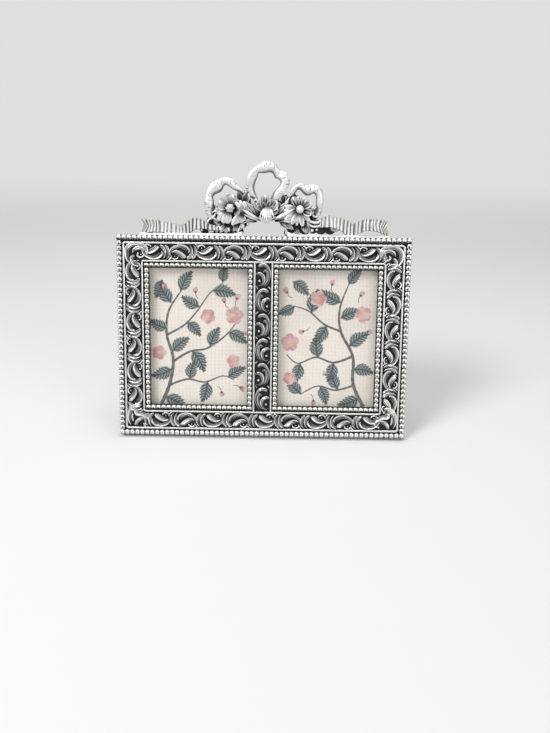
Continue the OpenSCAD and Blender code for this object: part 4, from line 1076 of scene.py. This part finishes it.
# A leaf is printed in narrow strips from stalk to tip, so that its veins follow its own map
def printedLeaf(stock, x, y, angle, long, wide, middle):
    look, steps = pictures, 2 * pictures["teeth"]
    c, s = aim(angle)

    def edge(k):
        t = k / steps
        body = sin(pi * t ** 0.8) ** 0.75 * (1 - 0.25 * t)
        return t, body * (1 + (look["tooth"] if k % 2 else -look["notch"])) * wide / 2

    def spot(t, off):
        off += look["curve"] * long * sin(pi * t)
        return clipped(x + t * long * c - off * s, y + t * long * s + off * c, middle)

    for k in range(steps):
        t0, w0 = edge(k)
        t1, w1 = edge(k + 1)
        e0, e1 = t0 + look["toothLean"] * (k % 2), t1 + look["toothLean"] * ((k + 1) % 2)
        corners = [(e0, -w0), (t0, 0), (e0, w0), (e1, w1), (t1, 0), (e1, -w1)]
        chart = [(t, 0.5 + off / wide) for t, off in corners]
        film(stock, [spot(t, off) for t, off in corners], "leaf", look["leafLayer"], chart)


def printedPetal(stock, x, y, angle, long, wide, middle, ink, layer):
    c, s = aim(angle)
    outline = []
    for t in around(pictures["petalSides"]):
        a = long * (0.5 - 0.5 * cos(t))
        b = wide / 2 * sin(t) * (0.75 + 0.35 * (1 - cos(t)) / 2)
        outline.append(clipped(x + a * c - b * s, y + a * s + b * c, middle))
    film(stock, outline, ink, layer)


def blossom(stock, x, y, r, turn, middle):
    look = pictures
    for k in range(look["petals"]):
        angle = turn + 360 * k / look["petals"]
        layer = look["petalLayer"] + look["petalLap"] * k
        printedPetal(stock, x, y, angle, r, r * 0.98, middle, "petal", layer)
    size, reach, heart = look["anther"] * r, look["antherReach"] * r, look["heart"] * r
    for k in range(look["anthers"]):
        angle = turn + 360 * k / look["anthers"]
        c, s = aim(angle)
        printedPetal(stock, x + reach * c, y + reach * s, angle, size, size, middle, "heart",
                     look["antherLayer"])
    printedPetal(stock, x - heart / 2, y, 0, heart, heart, middle, "heart", look["heartLayer"])


# A bud has a short stalk, two petals set apart and a cup over their root
def bud(stock, x, y, angle, long, middle):
    look, back = pictures, radians(angle) + pi
    run = [(x, y, look["stalkWidth"])]
    for reach, turn in ((look["stalk"], back), (2 * look["stalk"], back + look["stalkTurn"])):
        run.append((x + reach * cos(turn), y + reach * sin(turn), look["stalkWidth"]))
    printedStem(stock, run, middle)
    for turn, size, wide, ink, layer in look["bud"]:
        printedPetal(stock, x, y, angle + turn, long * size, long * wide, middle, ink, layer)


def picture(name, side):
    stock, middle = Stock(), side * windowMiddle
    reach = casting["sightLap"] - casting["paneClear"]
    halfW, halfH = windowWidth / 2 + reach, windowHeight / 2 + reach
    corners = ((-1, -1), (1, -1), (1, 1), (-1, 1))
    outline = [(middle + a * halfW, middleHeight + b * halfH) for a, b in corners]
    stock.skin([[(x, y, z) for x, y in outline] for z in (cardLow, cardTop)])
    spray = pictures[name]
    for rows in spray["stems"]:
        printedStem(stock, rows, middle)
    for kind, draw in (("leaves", printedLeaf), ("buds", bud), ("blossoms", blossom)):
        for row in spray[kind]:
            draw(stock, *row, middle)
    stock.piece(name + "PictureFine", ["linen", *inks], "print_paper", [name + "_print"], 30)


picture("left", -1)
picture("right", 1)
print("pictures printed")


# Finishes for the CAD pieces that stay
cadFinish = {
    "silver": ["front_frame"], "glass": ["left_glass", "right_glass"],
    "card": ["left_filler_card", "right_filler_card"], "board": ["backing_board", "strut_board"],
    "brass": ["turn_button_top_left", "turn_button_top_right", "turn_button_left", "turn_button_right",
              "hinge_fixed_leaf", "hinge_moving_leaf"],
    "steel": ["turn_button_screws", "hinge_pin", "hinge_board_rivets", "hinge_strut_rivets"],
}
for finishName, nodeNames in cadFinish.items():
    for nodeName in nodeNames:
        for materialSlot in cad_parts[nodeName].material_slots:
            materialSlot.material = finishes[finishName]
print("CAD pieces finished")


# Studio: a pale sweep, three soft lamps and a grey world that looks pale to the camera
studio = {
    "reach": 1.6, "depth": 0.9, "height": 1.6, "cove": 0.35, "coveSteps": 12, "pale": (0.80, 0.80, 0.79, 1),
    "backdrop": (0.74, 0.74, 0.735, 1), "fade": (0.15, 0.75),
    "world": (0.62, 0.63, 0.65, 1), "worldLevel": 0.46, "target": (0, 0, 0.05),
    # lamps: where, size across and power in watts
    "lamps": {"keyLamp": ((-0.42, -0.40, 0.62), 0.34, 3.9), "fillLamp": ((0.55, -0.55, 0.30), 0.5, 1.4),
              "topLamp": ((0.05, 0.10, 0.75), 0.40, 2.3)},
}


# 1 where the camera looks, straight or by way of metal or glass
def looking(tree):
    path = tree.nodes.new("ShaderNodeLightPath")
    share = path.outputs["Is Camera Ray"]
    for kind in ("Is Glossy Ray", "Is Transmission Ray"):
        either = tree.nodes.new("ShaderNodeMath")
        either.operation = "MAXIMUM"
        tree.links.new(share, either.inputs[0])
        tree.links.new(path.outputs[kind], either.inputs[1])
        share = either.outputs[0]
    return share


def sweep():
    look, cove = studio, studio["cove"]
    profile = [(-look["reach"], 0)]
    for k in range(look["coveSteps"] + 1):
        turn = pi / 2 * k / look["coveSteps"]
        profile.append((look["depth"] + cove * sin(turn), cove * (1 - cos(turn))))
    profile.append((look["depth"] + cove, look["height"]))
    points = [(side * look["reach"], y, z) for y, z in profile for side in (-1, 1)]
    faces = [[2 * k, 2 * k + 1, 2 * k + 3, 2 * k + 2] for k in range(len(profile) - 1)]
    mesh = bpy.data.meshes.new("studioSweep")
    mesh.from_pydata(points, [], faces)
    mesh.shade_smooth()
    paper = Finish("sweepPaper", Base_Color=look["pale"], Roughness=0.95, Specular_IOR_Level=0.1)
    seen = Wire(paper, looking(paper.tree))
    far = paper.along(paper.place(), (0, 1, 0)).between(*look["fade"])
    glow = paper.node("ShaderNodeEmission", {}, {"Color": look["backdrop"]})
    mixed = paper.node("ShaderNodeMixShader", {},
                       {0: seen * far, 1: Wire(paper, paper.shader.outputs[0]), 2: glow})
    paper.tree.links.new(mixed.socket, paper.output.inputs[0])
    mesh.materials.append(paper.material)
    made = show("studioSweep", mesh)


def lamps():
    for name, (where, size, power) in studio["lamps"].items():
        lamp = bpy.data.lights.new(name, "AREA")
        lamp.shape, lamp.size, lamp.energy = "DISK", size, power
        made = show(name, lamp)
        made.location = where
        made.rotation_euler = (Vector(studio["target"]) - Vector(where)).to_track_quat("-Z", "Y").to_euler()


def softWorld():
    world = bpy.data.worlds.new("softWorld")
    bpy.context.scene.world = world
    world.use_nodes = True
    nodes, links = world.node_tree.nodes, world.node_tree.links
    light, pale = nodes["Background"], nodes.new("ShaderNodeBackground")
    light.inputs["Color"].default_value = studio["world"]
    light.inputs["Strength"].default_value = studio["worldLevel"]
    pale.inputs["Color"].default_value = studio["backdrop"]
    mixed = nodes.new("ShaderNodeMixShader")
    links.new(looking(world.node_tree), mixed.inputs[0])
    links.new(light.outputs[0], mixed.inputs[1])
    links.new(pale.outputs[0], mixed.inputs[2])
    links.new(mixed.outputs[0], nodes["World Output"].inputs[0])


# Camera: fitted to the outline and the windows, at eye height above the shelf
view = {
    "place": (0.007451, -0.241526, 0.130862), "yaw": 0.607202, "pitch": -22.917847, "roll": -0.646698,
    "focus": 680, "imageHeight": 733, "sensor": 36,
}


def camera():
    lens = bpy.data.cameras.new("photoCamera")
    lens.sensor_width = view["sensor"]
    lens.lens = view["sensor"] * view["focus"] / view["imageHeight"]
    lens.clip_start = 0.01
    made = show("photoCamera", lens)
    turns = [Matrix.Rotation(radians(view[name]), 4, axis)
             for name, axis in (("yaw", "Z"), ("pitch", "X"), ("roll", "Y"))]
    made.matrix_world = (Matrix.Translation(view["place"]) @ turns[0] @ turns[1] @ turns[2]
                         @ Matrix.Rotation(pi / 2, 4, "X"))
    bpy.context.scene.camera = made


sweep()
lamps()
softWorld()
camera()
bpy.context.scene.view_settings.view_transform = "Standard"
print("studio set")
